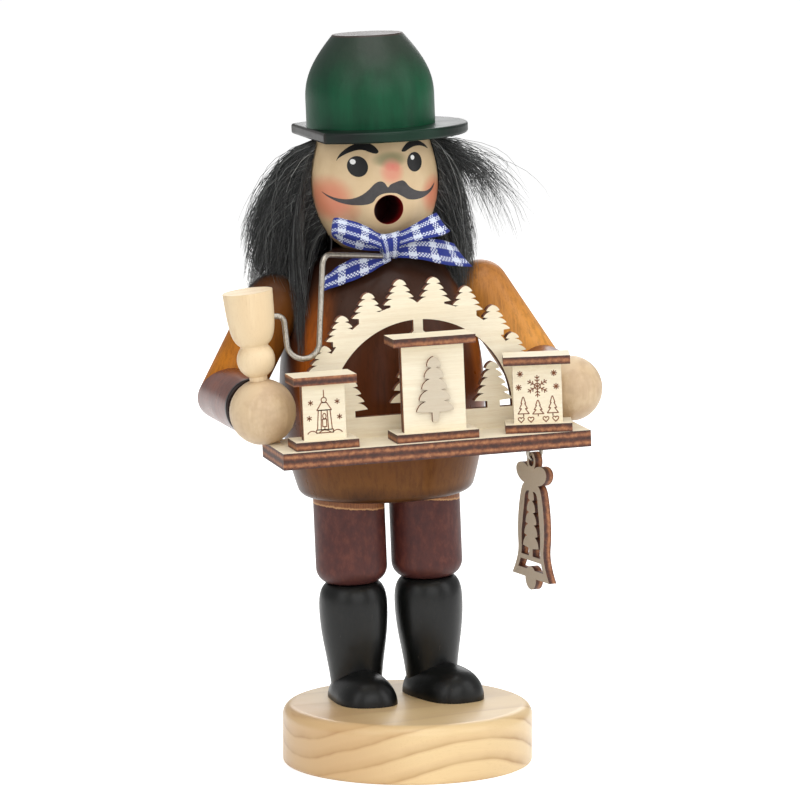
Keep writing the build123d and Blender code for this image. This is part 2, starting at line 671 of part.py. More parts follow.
def bow_knot():
    knot = Box(*KNOT_SIZE)
    knot = fillet(knot.edges(), min(KNOT_SIZE) / 4)
    return Pos(knot_centre()) * knot


def bow_place(side, turn, forward=0.0, below=0.0):
    """Frame at one side of the knot, X away from the knot along the ribbon."""
    knot = knot_centre()
    start = Pos(knot.X + side * KNOT_SIZE[0] / 2, knot.Y - forward, knot.Z - below)
    facing = Rot(0, 0, 0) if side > 0 else Rot(0, 0, 180)
    return start * facing * Rot(0, -turn, 0)


def bow_loop(side):
    """Teardrop loop of ribbon, standing on its edge."""
    half = BOW_LOOP_DEPTH / 2
    far = BOW_LOOP_LENGTH - half
    bend = ThreePointArc((far, half), (BOW_LOOP_LENGTH, 0), (far, -half))
    outline = make_face([Line((0, 0), (far, half)), bend, Line((far, -half), (0, 0))])
    inner = offset(outline, -RIBBON_THICKNESS)
    ribbon = extrude(outline - inner, RIBBON_WIDTH / 2, both=True)
    return bow_place(side, BOW_LOOP_RISE) * Pos(1.5 * RIBBON_THICKNESS, 0, 0) * ribbon


def bow_tail(side, fall):
    """Flat tail with a swallow-tail end."""
    half = RIBBON_WIDTH / 2
    outline = Polyline((0, -half), (BOW_TAIL_LENGTH, -half), (BOW_TAIL_LENGTH - BOW_TAIL_NOTCH, 0),
                       (BOW_TAIL_LENGTH, half), (0, half), close=True)
    flat = extrude(Plane.XZ * make_face(outline), RIBBON_THICKNESS / 2, both=True)
    place = bow_place(side, -fall, BOW_TAIL_FORWARD, BOW_TAIL_DROP)
    return place * Pos(RIBBON_WIDTH / 4, 0, 0) * Rot(-side * BOW_TAIL_ROLL, 0, 0) * flat


def eye_centre():
    """Middle of the wire at the eye's lowest point, where the bell hangs."""
    return Vector(BELL_X, BELL_Y, TRAY_TOP - TRAY_THICKNESS - 2 * EYE_RADIUS - EYE_WIRE_RADIUS)


def bell_eye(gap=0.0):
    """Screw eye under the tray."""
    low = eye_centre()
    ring = Pos(low.X, low.Y, low.Z + EYE_RADIUS) * Rot(0, 0, BELL_TURN) * Rot(0, 90, 0)
    torus = ring * Torus(EYE_RADIUS, EYE_WIRE_RADIUS + gap)
    shank_from = (low.X, low.Y, low.Z + 2 * EYE_RADIUS)
    shank_to = (low.X, low.Y, low.Z + 2 * EYE_RADIUS + EYE_WIRE_RADIUS + EYE_SHANK + gap)
    return torus + rod(EYE_WIRE_RADIUS + gap, shank_from, shank_to)


def bell_shape(inset=0.0):
    """Bell below its neck; an inset gives the pierced window."""
    neck = BELL_NECK_Z - inset
    rim = BELL_RIM_Z + inset
    shoulder = BELL_SHOULDER_HALF_WIDTH - inset
    crown = shoulder * BELL_CROWN_SHARE
    rim_half = BELL_RIM_HALF_WIDTH - BELL_RIM_INSET_SHARE * inset
    side = Spline((crown, neck), (shoulder, neck - BELL_SHOULDER_DROP),
                  (BELL_WAIST_HALF_WIDTH - inset, (neck + rim) * BELL_WAIST_SHARE), (rim_half, rim),
                  tangents=((1, 0), (0.75, -1)))
    return even_face([Line((0, neck), (crown, neck)), side, Line((rim_half, rim), (0, rim))])


def bell_outline():
    """Bell with a bow on top, in its own plane; zero at the hole it hangs by."""
    face = bell_shape() - bell_shape(BELL_FRAME)
    sill = BELL_RIM_Z + BELL_SILL_RISE
    face += bell_shape() & (Pos(0, sill) * Rectangle(3 * BELL_RIM_HALF_WIDTH, BELL_SILL_HEIGHT))
    tree_height = BELL_NECK_Z - sill - BELL_FRAME + BELL_SILL_HEIGHT / 2
    face += Pos(0, sill) * fir(BELL_TREE_WIDTH, tree_height, 5, BELL_FRAME)
    face += Pos(0, BELL_RIM_Z) * Circle(CLAPPER_RADIUS)
    face += Circle(BELL_RING_RADIUS)
    face += Pos(0, BELL_NECK_Z / 2) * Rectangle(BELL_STEM_WIDTH, -BELL_NECK_Z)
    for side in SIDES.values():
        lobe = Rot(0, 0, side * BELL_BOW_RISE) * Ellipse(BELL_BOW_HALF_WIDTH / 2, BELL_BOW_HALF_HEIGHT)
        face += Pos(side * BELL_BOW_HALF_WIDTH / 2, -BELL_BOW_DROP) * lobe
    return face - Circle(BELL_HOLE_RADIUS)


def bell_ornament():
    """Bell hanging plumb from the eye, whatever the figure's lean."""
    low = leaned(Pos(eye_centre())).position
    place = Pos(low.X, low.Y, low.Z - BELL_HOLE_DROP) * Rot(0, 0, BELL_TURN) * Rot(90, 0, 0)
    return place * extrude(bell_outline(), BELL_THICKNESS / 2, both=True)


def build_stand():
    keep("base_disc", base_disc())
    keep("leg_dowels", leaned(leg_dowels()))
    holes = leg_dowels(GLUE_GAP)
    for name, side in SIDES.items():
        shaft = on_base(boot_shaft(side))
        keep(name + "_boot_shaft", shaft - leaned(holes))
        keep(name + "_boot_foot", on_base(boot_foot(side)) - shaft)
        keep(name + "_trouser_leg", leaned(trouser_leg(side) - holes))
    keep("seat_plug", leaned(seat_plug() - holes))
    keep("incense_dish", leaned(incense_dish()))
    keep("dish_nail", leaned(dish_nail()))


def build_body():
    keep("torso_barrel", leaned(torso_barrel()))
    keep("head", leaned(head()))
    keep("hat_brim", leaned(hat_brim()))
    keep("hat_crown", leaned(hat_crown()))
    keep("hat_dowel", leaned(hat_dowel()))
    keep("hair", leaned(hair()))
    for name, side in SIDES.items():
        keep(name + "_upper_arm", leaned(upper_arm(side)))
        keep(name + "_forearm", leaned(forearm(side)))
        keep(name + "_hand", leaned(hand(side)))
    keep("shoulder_dowels", leaned(shoulder_dowels()))
    keep("elbow_dowels", leaned(elbow_dowels()))
    keep("wrist_dowels", leaned(wrist_dowels()))


def build_dress():
    keep("bow_knot", leaned(bow_knot()))
    for name, side in SIDES.items():
        keep("bow_" + name + "_loop", leaned(bow_loop(side)))
        keep("bow_" + name + "_tail", leaned(bow_tail(side, BOW_TAIL_FALL[name])))
    keep("pipe", leaned(pipe() - wire_stem(GLUE_GAP)))
    keep("pipe_wire_stem", leaned(wire_stem()))


def build_tray():
    keep("tray", leaned(tray()))
    keep("tray_pins", leaned(tray_pins()))
    keep("candle_arch", leaned(candle_arch()))
    stalls = {"right": RIGHT_STALL, "centre": CENTRE_STALL, "left": LEFT_STALL}
    for name, stall in stalls.items():
        keep(name + "_stall_base", leaned(stall_base(stall)))
        keep(name + "_stall_panel", leaned(stall_panel(stall)))
        keep(name + "_stall_roof", leaned(stall_roof(stall)))
    keep("centre_stall_tree", leaned(stall_tree()))
    keep("bell_eye", leaned(bell_eye()))
    keep("bell_ornament", bell_ornament())


build_stand()
build_body()
build_dress()
build_tray()
os.makedirs("parts", exist_ok=True)
for part_name, part_shape in PARTS.items():
    export_step(part_shape, "parts/" + part_name + ".step")
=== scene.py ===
from math import cos, pi, radians, sin

import bpy
import numpy as np
from mathutils import Matrix, Vector
from mathutils.bvhtree import BVHTree
from mathutils.geometry import delaunay_2d_cdt


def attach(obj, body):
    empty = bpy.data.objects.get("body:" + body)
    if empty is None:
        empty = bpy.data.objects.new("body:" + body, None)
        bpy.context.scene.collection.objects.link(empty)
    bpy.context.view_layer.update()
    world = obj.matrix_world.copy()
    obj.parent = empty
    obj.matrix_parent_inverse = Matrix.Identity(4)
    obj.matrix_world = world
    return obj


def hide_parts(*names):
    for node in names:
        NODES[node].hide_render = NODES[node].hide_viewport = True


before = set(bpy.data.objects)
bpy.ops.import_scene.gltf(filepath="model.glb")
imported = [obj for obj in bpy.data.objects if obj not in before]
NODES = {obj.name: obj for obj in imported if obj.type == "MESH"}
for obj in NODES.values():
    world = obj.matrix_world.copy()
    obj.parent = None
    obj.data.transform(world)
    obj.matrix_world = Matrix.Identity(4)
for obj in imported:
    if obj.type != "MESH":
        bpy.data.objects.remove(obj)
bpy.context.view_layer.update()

# The figure stands on its base with a small lean. Its own frame is in millimetres, with the zero on the
# base's top face, the front towards -Y and the pipe hand towards -X.
MM = 0.001
LEAN = radians(2.4)
FIGURE_ZERO = Vector((-0.4, 13.0, 16.0))
TO_ROW = Matrix.Scale(MM, 4) @ Matrix.Translation(FIGURE_ZERO) @ Matrix.Rotation(-LEAN, 4, "Y")
TO_FIGURE = TO_ROW.inverted()
SEAT = 57.5
NECK = 126.0
BRIM = 156.3
TINY = 1e-9

# Kinds of noise: detail and roughness
DUSTY = (1.0, 0.4)
EVEN = (2.0, 0.5)
SPECKLED = (2.0, 0.6)
CLOUDY = (3.0, 0.5)
GRAINY = (3.0, 0.6)
PATCHY = (4.0, 0.6)
RAGGED = (4.0, 0.7)
BLOTCHED = (5.0, 0.65)
SOOTY = (5.0, 0.7)


def srgb(*display):
    """Linear colour from display values of 0 to 255."""
    shares = [value / 255 for value in display]
    linear = [share / 12.92 if share <= 0.04045 else ((share + 0.055) / 1.055) ** 2.4 for share in shares]
    return (*linear, 1.0)


class Net:
    """Builds nodes. An input may be a number, a colour, a vector or another node's socket."""

    def __init__(self, tree):
        self.tree = tree

    def put(self, socket, value):
        if isinstance(value, bpy.types.NodeSocket):
            self.tree.links.new(value, socket)
        else:
            socket.default_value = value

    def node(self, kind, inputs=None, **settings):
        made = self.tree.nodes.new(kind if kind.startswith("GeometryNode") else "ShaderNode" + kind)
        for name, value in settings.items():
            setattr(made, name, value)
        for key, value in (inputs or {}).items():
            self.put(made.inputs[key], value)
        return made

    def use(self, tree, inputs=None):
        return self.node("Group", inputs, node_tree=tree).outputs

    @property
    def point(self):
        """Place in the figure's own millimetres."""
        return self.use(FIGURE_POINT)["Point"]

    def math(self, operation, *values):
        return self.node("Math", dict(enumerate(values)), operation=operation).outputs[0]

    def times(self, first, second):
        return self.math("MULTIPLY", first, second)

    def plus(self, first, second):
        return self.math("ADD", first, second)

    def minus(self, first, second):
        return self.math("SUBTRACT", first, second)

    def scaled(self, value, factor, offset):
        return self.math("MULTIPLY_ADD", value, factor, offset)

    def size(self, value):
        return self.math("ABSOLUTE", value)

    def reach(self, first, second):
        """Length of a flat vector."""
        return self.math("SQRT", self.plus(self.times(first, first), self.times(second, second)))

    def dot(self, first, second):
        return self.node("VectorMath", {0: first, 1: second}, operation="DOT_PRODUCT").outputs["Value"]

    def split(self, vector):
        return self.node("SeparateXYZ", {0: vector}).outputs

    def mix(self, share, first, second):
        return self.node("Mix", {0: share, 6: first, 7: second}, data_type="RGBA").outputs[2]

    def tint(self, colour, mask, share, display):
        """Lay a display colour over another one, by a share of a mask."""
        return self.mix(self.times(mask, share), colour, srgb(*display))

    def ramp(self, value, *stops):
        """Colours along a value. Stops are (place, colour): display values, or linear ones with alpha."""
        made = self.node("ValToRGB", {0: value})
        elements = made.color_ramp.elements
        while len(elements) < len(stops):
            elements.new(0.5)
        for element, (place, colour) in zip(elements, stops):
            element.position = place
            element.color = srgb(*colour) if len(colour) == 3 else colour
        return made.outputs[0]

    def rise(self, value, low, high, kind="SMOOTHSTEP"):
        """0 at low and 1 at high, smooth between unless kind is LINEAR; low may be the larger of the two."""
        return self.node("MapRange", {0: value, 1: low, 2: high}, interpolation_type=kind).outputs[0]

    def noise(self, vector, scale, kind=CLOUDY):
        detail, rough = kind
        inputs = {"Vector": vector, "Scale": scale, "Detail": detail, "Roughness": rough}
        return self.node("TexNoise", inputs).outputs[0]

    def streaks(self, vector, factors, kind=CLOUDY):
        """Noise with its own scale along each axis."""
        stretched = self.node("VectorMath", {0: vector, 1: factors}, operation="MULTIPLY").outputs["Vector"]
        return self.noise(stretched, 1.0, kind)

    def spot(self, x, z, centre, reach):
        """Soft round or oval spot in the x and z of the figure: 1 in the middle, 0 at its reach."""
        across = self.math("DIVIDE", self.minus(x, centre[0]), reach[0])
        upward = self.math("DIVIDE", self.minus(z, centre[1]), reach[1])
        away = self.plus(self.times(across, across), self.times(upward, upward))
        return self.rise(self.minus(1.0, away), 0.0, 1.0)

    def bump(self, height, depth, strength=1.0):
        """Normal of a surface whose relief is depth millimetres high."""
        return self.node("Bump", {"Height": height, "Distance": depth * MM, "Strength": strength}).outputs[0]


def node_group(name, inputs, outputs, build, kind="ShaderNodeTree"):
    """Shared group of nodes; build takes the net and the input sockets and gives the outputs by name."""
    tree = bpy.data.node_groups.new(name, kind)
    for direction, sockets in (("INPUT", inputs), ("OUTPUT", outputs)):
        for label, value in sockets.items():
            tree.interface.new_socket(label, in_out=direction, socket_type="NodeSocket" + value)
    source = tree.nodes.new("NodeGroupInput")
    sink = tree.nodes.new("NodeGroupOutput")
    for label, socket in build(Net(tree), source.outputs).items():
        tree.links.new(socket, sink.inputs[label])
    return tree


def figure_point_build(net, _):
    place = net.node("TexCoord").outputs["Object"]
    inputs = {"Vector": place, "Location": FIGURE_ZERO * MM, "Rotation": (0, -LEAN, 0), "Scale": (MM, MM, MM)}
    return {"Point": net.node("Mapping", inputs, vector_type="TEXTURE").outputs[0]}


def fibres_build(net, given):
    """Wood fibres along the point's Z: broad streaks and fine pores."""
    return {"Streak": net.streaks(given["Point"], (0.9, 0.9, 0.035), PATCHY),
            "Pore": net.streaks(given["Point"], (5.0, 5.0, 0.22), EVEN)}


def lacquer_build(net, given):
    """Slightly uneven lacquer: a soft orange peel, dust specks and a rough value."""
    point = given["Point"]
    dust = net.rise(net.noise(point, 2.3, DUSTY), 0.76, 0.82)
    height = net.plus(net.noise(point, 0.55), net.times(dust, 0.4))
    rough = net.scaled(net.noise(point, 0.12, PATCHY), 0.22, given["Rough"])
    return {"Normal": net.bump(height, 0.04), "Rough": rough}


PLY_PALE = (244, 235, 211)
PLY_DARK = (230, 215, 186)
PLY_SHADED = (146, 128, 114)


def plywood_build(net, given):
    """Pale birch faces across one axis, and laser-burnt edges that show the plies."""
    point = given["Point"]
    facing = net.size(net.dot(net.node("TexCoord").outputs["Normal"], given["Face Axis"]))
    face = net.rise(facing, 0.55, 0.75)
    grain = net.streaks(point, (0.06, 1.3, 1.3), PATCHY)
    pore = net.streaks(point, (0.5, 6.0, 6.0), EVEN)
    tone = net.plus(net.times(grain, 0.7), net.times(pore, 0.3))
    pale = net.ramp(tone, (0.3, PLY_DARK), (0.7, PLY_PALE))
    # Painted shade: the Shade share darkens the pale faces towards PLY_SHADED.
    pale = net.mix(given["Shade"], pale, srgb(*PLY_SHADED))
    depth = net.dot(point, given["Ply Axis"])
    ply = net.math("SINE", net.scaled(depth, given["Ply Turns"], given["Ply Phase"]))
    soot = net.noise(point, 0.8, SOOTY)
    burn = net.scaled(ply, 0.2, net.times(soot, 0.82))
    burnt = net.ramp(burn, (0.22, (58, 28, 18)), (0.45, (108, 60, 37)), (0.72, (176, 118, 76)))
    speck = net.rise(net.noise(point, 2.6, SPECKLED), 0.72, 0.78)
    burnt = net.tint(burnt, speck, 0.35, PLY_DARK)
    height = net.plus(pore, net.times(soot, net.minus(1.0, face)))
    return {"Colour": net.mix(face, burnt, pale), "Normal": net.bump(height, 0.06),
            "Rough": net.scaled(face, 0.08, 0.58)}


FIGURE_POINT = node_group("figure_millimetres", {}, {"Point": "Vector"}, figure_point_build)
FIBRES = node_group("wood_fibres", {"Point": "Vector"}, {"Streak": "Float", "Pore": "Float"}, fibres_build)
LACQUER = node_group("lacquer_skin", {"Point": "Vector", "Rough": "Float"},
                     {"Normal": "Vector", "Rough": "Float"}, lacquer_build)
PLYWOOD = node_group("burnt_plywood",
                     {"Point": "Vector", "Face Axis": "Vector", "Ply Axis": "Vector", "Ply Turns": "Float",
                      "Ply Phase": "Float", "Shade": "Float"},
                     {"Colour": "Color", "Normal": "Vector", "Rough": "Float"}, plywood_build)


def material(name, build, fixed, *values):
    """Principled material. build gives the shader's inputs by name; fixed holds plain ones."""
    made = bpy.data.materials.new(name)
    made.use_nodes = True
    net = Net(made.node_tree)
    shader = made.node_tree.nodes["Principled BSDF"]
    for key, value in {**fixed, **build(net, *values)}.items():
        net.put(shader.inputs[key], value)
    return made


def coat(weight, rough, specular=0.5):
    """Inputs of a clear coat, and of the shine below it."""
    return {"Coat Weight": weight, "Coat Roughness": rough, "Specular IOR Level": specular}


def surface(colour, rough, normal):
    return {"Base Color": colour, "Roughness": rough, "Normal": normal}


def lacquered(net, colour, rough):
    skin = net.use(LACQUER, {"Point": net.point, "Rough": rough})
    return surface(colour, skin["Rough"], skin["Normal"])


def grained(net, colour, dark, share):
    """Let the wood's upright fibres show through a stain."""
    fibres = net.use(FIBRES, {"Point": net.point})
    tone = net.plus(net.times(fibres["Streak"], 0.7), net.times(fibres["Pore"], 0.3))
    return net.tint(colour, net.rise(tone, 0.42, 0.68), share, dark)


def around(net, x, y):
    """Degrees round the figure's axis from the front, plus towards the pipe hand."""
    return net.math("DEGREES", net.math("ARCTAN2", net.times(x, -1.0), net.times(y, -1.0)))


PITH_TURN = radians(-16.0)
PITH_HEIGHT = 60.0
PITH_ASIDE = 1.5
RING_WIDTH = 5.2
RING_SWAY = 4.0
# Darkness of the wood across one ring
LATE_WOOD = ((0.0, 0.35), (0.09, 0.0), (0.5, 0.06), (0.82, 0.5), (0.95, 1.0), (1.0, 0.4))


def pine_build(net):
    """Flat-sawn pine: rings about a pith that runs along X above the disc."""
    turned = {"Vector": net.node("TexCoord").outputs["Object"], "Rotation": (0, 0, PITH_TURN),
              "Scale": (1 / MM, 1 / MM, 1 / MM)}
    place = net.node("Mapping", turned).outputs[0]
    x, y, z = net.split(place)
    away = net.reach(net.minus(y, PITH_ASIDE), net.minus(z, PITH_HEIGHT))
    away = net.plus(away, net.times(net.streaks(place, (0.02, 0.05, 0.05)), RING_SWAY))
    ring = net.math("FRACT", net.math("DIVIDE", away, RING_WIDTH))
    late = net.ramp(ring, *((part, (dark, dark, dark, 1.0)) for part, dark in LATE_WOOD))
    patchy = net.streaks(place, (0.03, 0.12, 0.12), GRAINY)
    late = net.times(late, net.scaled(patchy, 1.3, 0.05))
    late = net.times(late, net.scaled(net.rise(z, 16.2, 13.5), 0.6, 0.4))
    wood = net.mix(late, srgb(234, 204, 153), srgb(180, 136, 84))
    # Painted shade: the disc darkens towards -X, the pipe-hand side.
    wood = net.tint(wood, net.rise(x, -12.0, -32.0), 0.45, (190, 142, 90))
    fine = net.streaks(place, (0.12, 3.2, 3.2), GRAINY)
    wood = net.tint(wood, net.rise(fine, 0.5, 0.75), 0.18, (200, 162, 112))
    knot = net.rise(net.noise(place, 0.33, SPECKLED), 0.76, 0.8)
    wood = net.tint(wood, knot, 0.35, (160, 112, 70))
    skin = net.use(LACQUER, {"Point": place, "Rough": 0.3})
    return surface(wood, skin["Rough"], net.bump(fine, 0.05, 0.5))


def bare_wood_build(net, pale, middle, dark, mottle):
    """Turned wood without stain; mottle is the share of large darker clouds."""
    point = net.point
    fibres = net.use(FIBRES, {"Point": point})
    ring = net.math("SINE", net.scaled(fibres["Streak"], 5.0, net.times(net.split(point)["Y"], 1.1)))
    tone = net.plus(net.times(fibres["Streak"], 0.55), net.times(ring, 0.12))
    wood = net.ramp(tone, (0.15, pale), (0.4, middle), (0.6, dark))
    cloud = net.rise(net.noise(point, 0.13, GRAINY), 0.42, 0.62)
    wood = net.tint(wood, cloud, mottle, (176, 142, 110))
    wood = net.tint(wood, net.rise(fibres["Pore"], 0.55, 0.75), 0.2, (196, 158, 114))
    return surface(wood, net.scaled(fibres["Pore"], 0.2, 0.38), net.bump(fibres["Pore"], 0.04))


def inner_beech_build(net):
    fibres = net.use(FIBRES, {"Point": net.point})
    wood = net.ramp(fibres["Streak"], (0.3, (222, 184, 140)), (0.7, (188, 146, 102)))
    return surface(wood, 0.6, net.bump(fibres["Pore"], 0.08))


def boot_build(net):
    """Black lacquer with smears and a few upright scratches."""
    point = net.point
    smear = net.noise(point, 0.09, PATCHY)
    colour = net.ramp(smear, (0.35, (9, 10, 10)), (0.6, (15, 16, 15)), (0.8, (27, 26, 24)))
    scratch = net.streaks(point, (1.6, 1.6, 0.12), SPECKLED)
    colour = net.tint(colour, net.rise(scratch, 0.71, 0.76), 0.25, (98, 88, 76))
    return lacquered(net, colour, 0.26)


LEG_WIDTH = 16.0


def trouser_build(net, middle, bare_low, bare_high):
    """Wine stain. The bare wood at the top grows from one depth to another across the leg."""
    point = net.point
    x, _, z = net.split(point)
    blotch = net.streaks(point, (0.5, 0.5, 0.3), BLOTCHED)
    stain = net.ramp(blotch, (0.28, (66, 32, 31)), (0.52, (82, 41, 36)), (0.74, (106, 58, 47)))
    fleck = net.rise(net.streaks(point, (3.6, 3.6, 1.2), SPECKLED), 0.64, 0.76)
    stain = net.tint(stain, fleck, 0.16, (140, 92, 82))
    stain = net.tint(stain, net.rise(z, 36.5, 33.0), 0.5, (44, 22, 24))
    ragged = net.scaled(net.noise(point, 0.9, RAGGED), 1.2, -0.6)
    slope = (bare_high - bare_low) / LEG_WIDTH
    bare_depth = net.scaled(x, slope, (bare_high + bare_low) / 2 - slope * middle)
    above = net.plus(net.minus(z, net.minus(SEAT, bare_depth)), ragged)
    pore = net.use(FIBRES, {"Point": point})["Pore"]
    wood = net.ramp(pore, (0.3, (158, 104, 66)), (0.7, (116, 70, 44)))
    # Painted highlight: a bright line along the lower edge of the bare band.
    wood = net.mix(net.rise(above, 0.8, 0.3), wood, srgb(202, 152, 104))
    return lacquered(net, net.mix(net.rise(above, 0.0, 0.25), stain, wood), 0.4)


# Orange bands beside the arms: degrees from the front, and strength
ARM_GLOWS = ((57.0, 0.95), (-62.0, 0.45))


def torso_build(net):
    """Sprayed brown lacquer, orange beside the arms and bare in the chamber; darker towards the neck, and
    darker at the sides as painted shade.
    """
    point = net.point
    x, y, z = net.split(point)
    drift = net.scaled(net.noise(point, 0.05), 0.12, -0.06)
    colour = net.ramp(net.plus(net.rise(z, SEAT, NECK, "LINEAR"), drift),
                      (0.0, (66, 38, 18)), (0.07, (116, 74, 36)), (0.2, (108, 65, 30)), (0.36, (92, 47, 22)),
                      (0.6, (84, 44, 24)), (0.8, (66, 41, 29)), (1.0, (44, 27, 21)))
    turn = around(net, x, y)
    tall = net.times(net.rise(z, 62.0, 84.0), net.rise(z, 121.0, 100.0))
    for centre, share in ARM_GLOWS:
        band = net.rise(net.size(net.minus(turn, centre)), 17.0, 3.0)
        colour = net.tint(colour, net.times(band, tall), share, (176, 92, 28))
    # Painted shade: the sides turning away from the front are darkened.
    colour = net.tint(colour, net.rise(net.size(turn), 62.0, 88.0), 0.65, (52, 22, 14))
    colour = grained(net, colour, (46, 26, 16), 0.35)
    chamber = net.times(net.rise(net.reach(x, y), 18.5, 18.2), net.rise(z, 110.0, 109.0))
    return lacquered(net, net.mix(chamber, colour, srgb(150, 112, 76)), 0.2)


SLEEVE_STEPS = (0.0, 0.18, 0.4, 0.66, 0.92)


def sleeve_build(net, tones, inner_shade_share):
    """Ochre arm. tones run from the elbow up; the last argument sets how much painted shade darkens the side
    next to the body.
    """
    point = net.point
    x, _, z = net.split(point)
    drift = net.scaled(net.noise(point, 0.07), 8.0, -4.0)
    colour = net.ramp(net.rise(net.plus(z, drift), 84.0, 121.0, "LINEAR"), *zip(SLEEVE_STEPS, tones))
    # Painted shade on the side next to the body.
    colour = net.tint(colour, net.rise(net.size(x), 40.0, 31.0), inner_shade_share, (84, 50, 22))
    return lacquered(net, grained(net, colour, (96, 54, 20), 0.4), 0.28)


def cuff_build(net):
    """Brown lacquer with a darker end at the wrist."""
    point = net.point
    colour = net.ramp(net.noise(point, 0.08), (0.35, (98, 46, 33)), (0.65, (130, 72, 53)))
    end = net.rise(net.split(point)["Y"], -29.8, -31.0)
    return lacquered(net, net.mix(end, grained(net, colour, (38, 20, 16), 0.4), srgb(34, 19, 17)), 0.2)


# Spots on the face: middle in x and height above the neck, reach, strength and colour. The cheeks and nose
# are sprayed; the olive arc above the nose is painted shade.
FACE_SPOTS = (
    ((-15.0, 14.6), (6.6, 7.4), 0.8, (218, 122, 92)),
    ((-11.5, 11.0), (5.0, 4.6), 0.45, (218, 122, 92)),
    ((14.2, 14.2), (5.2, 6.4), 0.8, (218, 122, 92)),
    # Painted shade: olive arc over the top of the nose.
    ((0.9, 24.9), (5.8, 2.6), 0.85, (122, 120, 76)),
    ((1.1, 21.6), (4.0, 4.3), 0.8, (226, 138, 114)),
    ((0.6, 23.0), (1.6, 1.5), 0.42, (222, 104, 92)),
    ((2.2, 22.8), (1.6, 1.5), 0.42, (222, 104, 92)),
)
MOUTH_HEIGHT = 11.3


def head_build(net):
    """Tan face with sprayed cheeks and nose, painted shade above the nose and under the chin, and a red mouth
    bore.
    """
    point = net.point
    x, y, z = net.split(point)
    up = net.minus(z, NECK)
    skin = net.ramp(net.noise(point, 0.16), (0.3, (213, 184, 142)), (0.7, (226, 199, 158)))
    front = net.rise(y, 0.0, -4.0)
    for centre, reach, share, colour in FACE_SPOTS:
        skin = net.tint(skin, net.times(net.spot(x, up, centre, reach), front), share, colour)
    # Painted shade: darker under the chin, low on the head.
    skin = net.tint(skin, net.rise(up, 5.0, 1.5), 0.5, (170, 142, 92))
    from_mouth = net.reach(x, net.minus(up, MOUTH_HEIGHT))
    bore = net.times(net.rise(from_mouth, 4.16, 4.08), front)
    bore = net.math("MAXIMUM", bore, net.rise(net.reach(x, y), 6.0, 5.4))
    red = net.mix(net.rise(y, -15.5, -9.0), srgb(136, 12, 15), srgb(72, 8, 12))
    return lacquered(net, net.mix(bore, skin, red), 0.34)


def hat_build(net):
    """Green lacquer, sprayed dark towards the top, that dark lifted a little as a painted highlight; the
    darker sides are painted shade.
    """
    point = net.point
    x, y, z = net.split(point)
    drift = net.scaled(net.noise(point, 0.06), 6.0, -3.0)
    green = net.ramp(net.streaks(point, (0.16, 0.16, 0.05)), (0.3, (0, 58, 34)), (0.7, (2, 82, 50)))
    # Sprayed dark top, its colour lifted a little to stand for a painted highlight.
    colour = net.tint(green, net.rise(net.plus(z, drift), 166.0, 183.0), 0.9, (48, 53, 46))
    turn = around(net, x, y)
    # Painted shade: darker towards both sides as seen from the camera.
    for start, end, share in ((14.0, 82.0, 0.45), (-55.0, -100.0, 0.3)):
        colour = net.tint(colour, net.rise(turn, start, end), share, (18, 44, 36))
    colour = net.mix(net.rise(z, 183.6, 184.2), colour, srgb(66, 54, 50))
    return lacquered(net, grained(net, colour, (2, 40, 26), 0.15), 0.32)


def brim_build(net):
    """Almost black green, greener in the middle and browner on the flat side."""
    point = net.point
    x = net.split(point)["X"]
    colour = net.ramp(net.noise(point, 0.09), (0.35, (16, 23, 20)), (0.7, (24, 36, 30)))
    colour = net.tint(colour, net.rise(net.size(net.minus(x, 4.0)), 17.0, 4.0), 0.7, (7, 48, 31))
    colour = net.tint(colour, net.rise(x, -17.0, -17.9), 0.6, (52, 46, 44))
    return lacquered(net, colour, 0.26)


def board_build(net, face_axis, thickness, middle=0.0, shade=0.0):
    """Plywood whose pale faces look along face_axis; its light middle ply lies at a distance along it."""
    turns = 2 * pi / thickness
    axis = Vector(face_axis).normalized()
    own = (TO_ROW.to_3x3().inverted() @ axis).normalized()
    wood = net.use(PLYWOOD, {"Point": net.point, "Face Axis": axis[:], "Ply Axis": own[:],
                             "Ply Turns": turns, "Ply Phase": pi / 2 - turns * middle, "Shade": shade})
    return surface(wood["Colour"], wood["Rough"], wood["Normal"])


def engraving_build(net):
    soot = net.noise(net.point, 2.2, RAGGED)
    colour = net.ramp(soot, (0.3, (92, 48, 28)), (0.7, (150, 92, 56)))
    return surface(colour, 0.75, net.bump(soot, 0.05))


def metal_build(net, factors, kind, dark, light, gain, rough, depth):
    """Drawn or pressed metal, rougher where it is lighter."""
    stain = net.streaks(net.point, factors, kind)
    return surface(net.ramp(stain, dark, light), net.scaled(stain, gain, rough), net.bump(stain, depth))


def hair_build(net):
    """Fur from black to grey, by each strand's tone; the grey strands are partly the fur's own grey hairs and
    partly painted highlight.
    """
    tone = net.node("Attribute", attribute_name="tone").outputs["Fac"]
    colour = net.ramp(tone, (0.0, (14, 14, 14)), (0.3, (34, 35, 34)), (0.55, (70, 72, 71)),
                      (0.8, (130, 132, 130)), (1.0, (190, 192, 190)))
    return {"Base Color": colour, "Roughness": net.scaled(tone, 0.2, 0.28)}


def face_paint_build(net, dark, light):
    blotch = net.noise(net.point, 0.5, GRAINY)
    return lacquered(net, net.ramp(blotch, (0.3, dark), (0.7, light)), 0.3)


RIBBON_WIDTH = 6.0
THREAD = 0.46
CHECK_LENGTH = 6.4


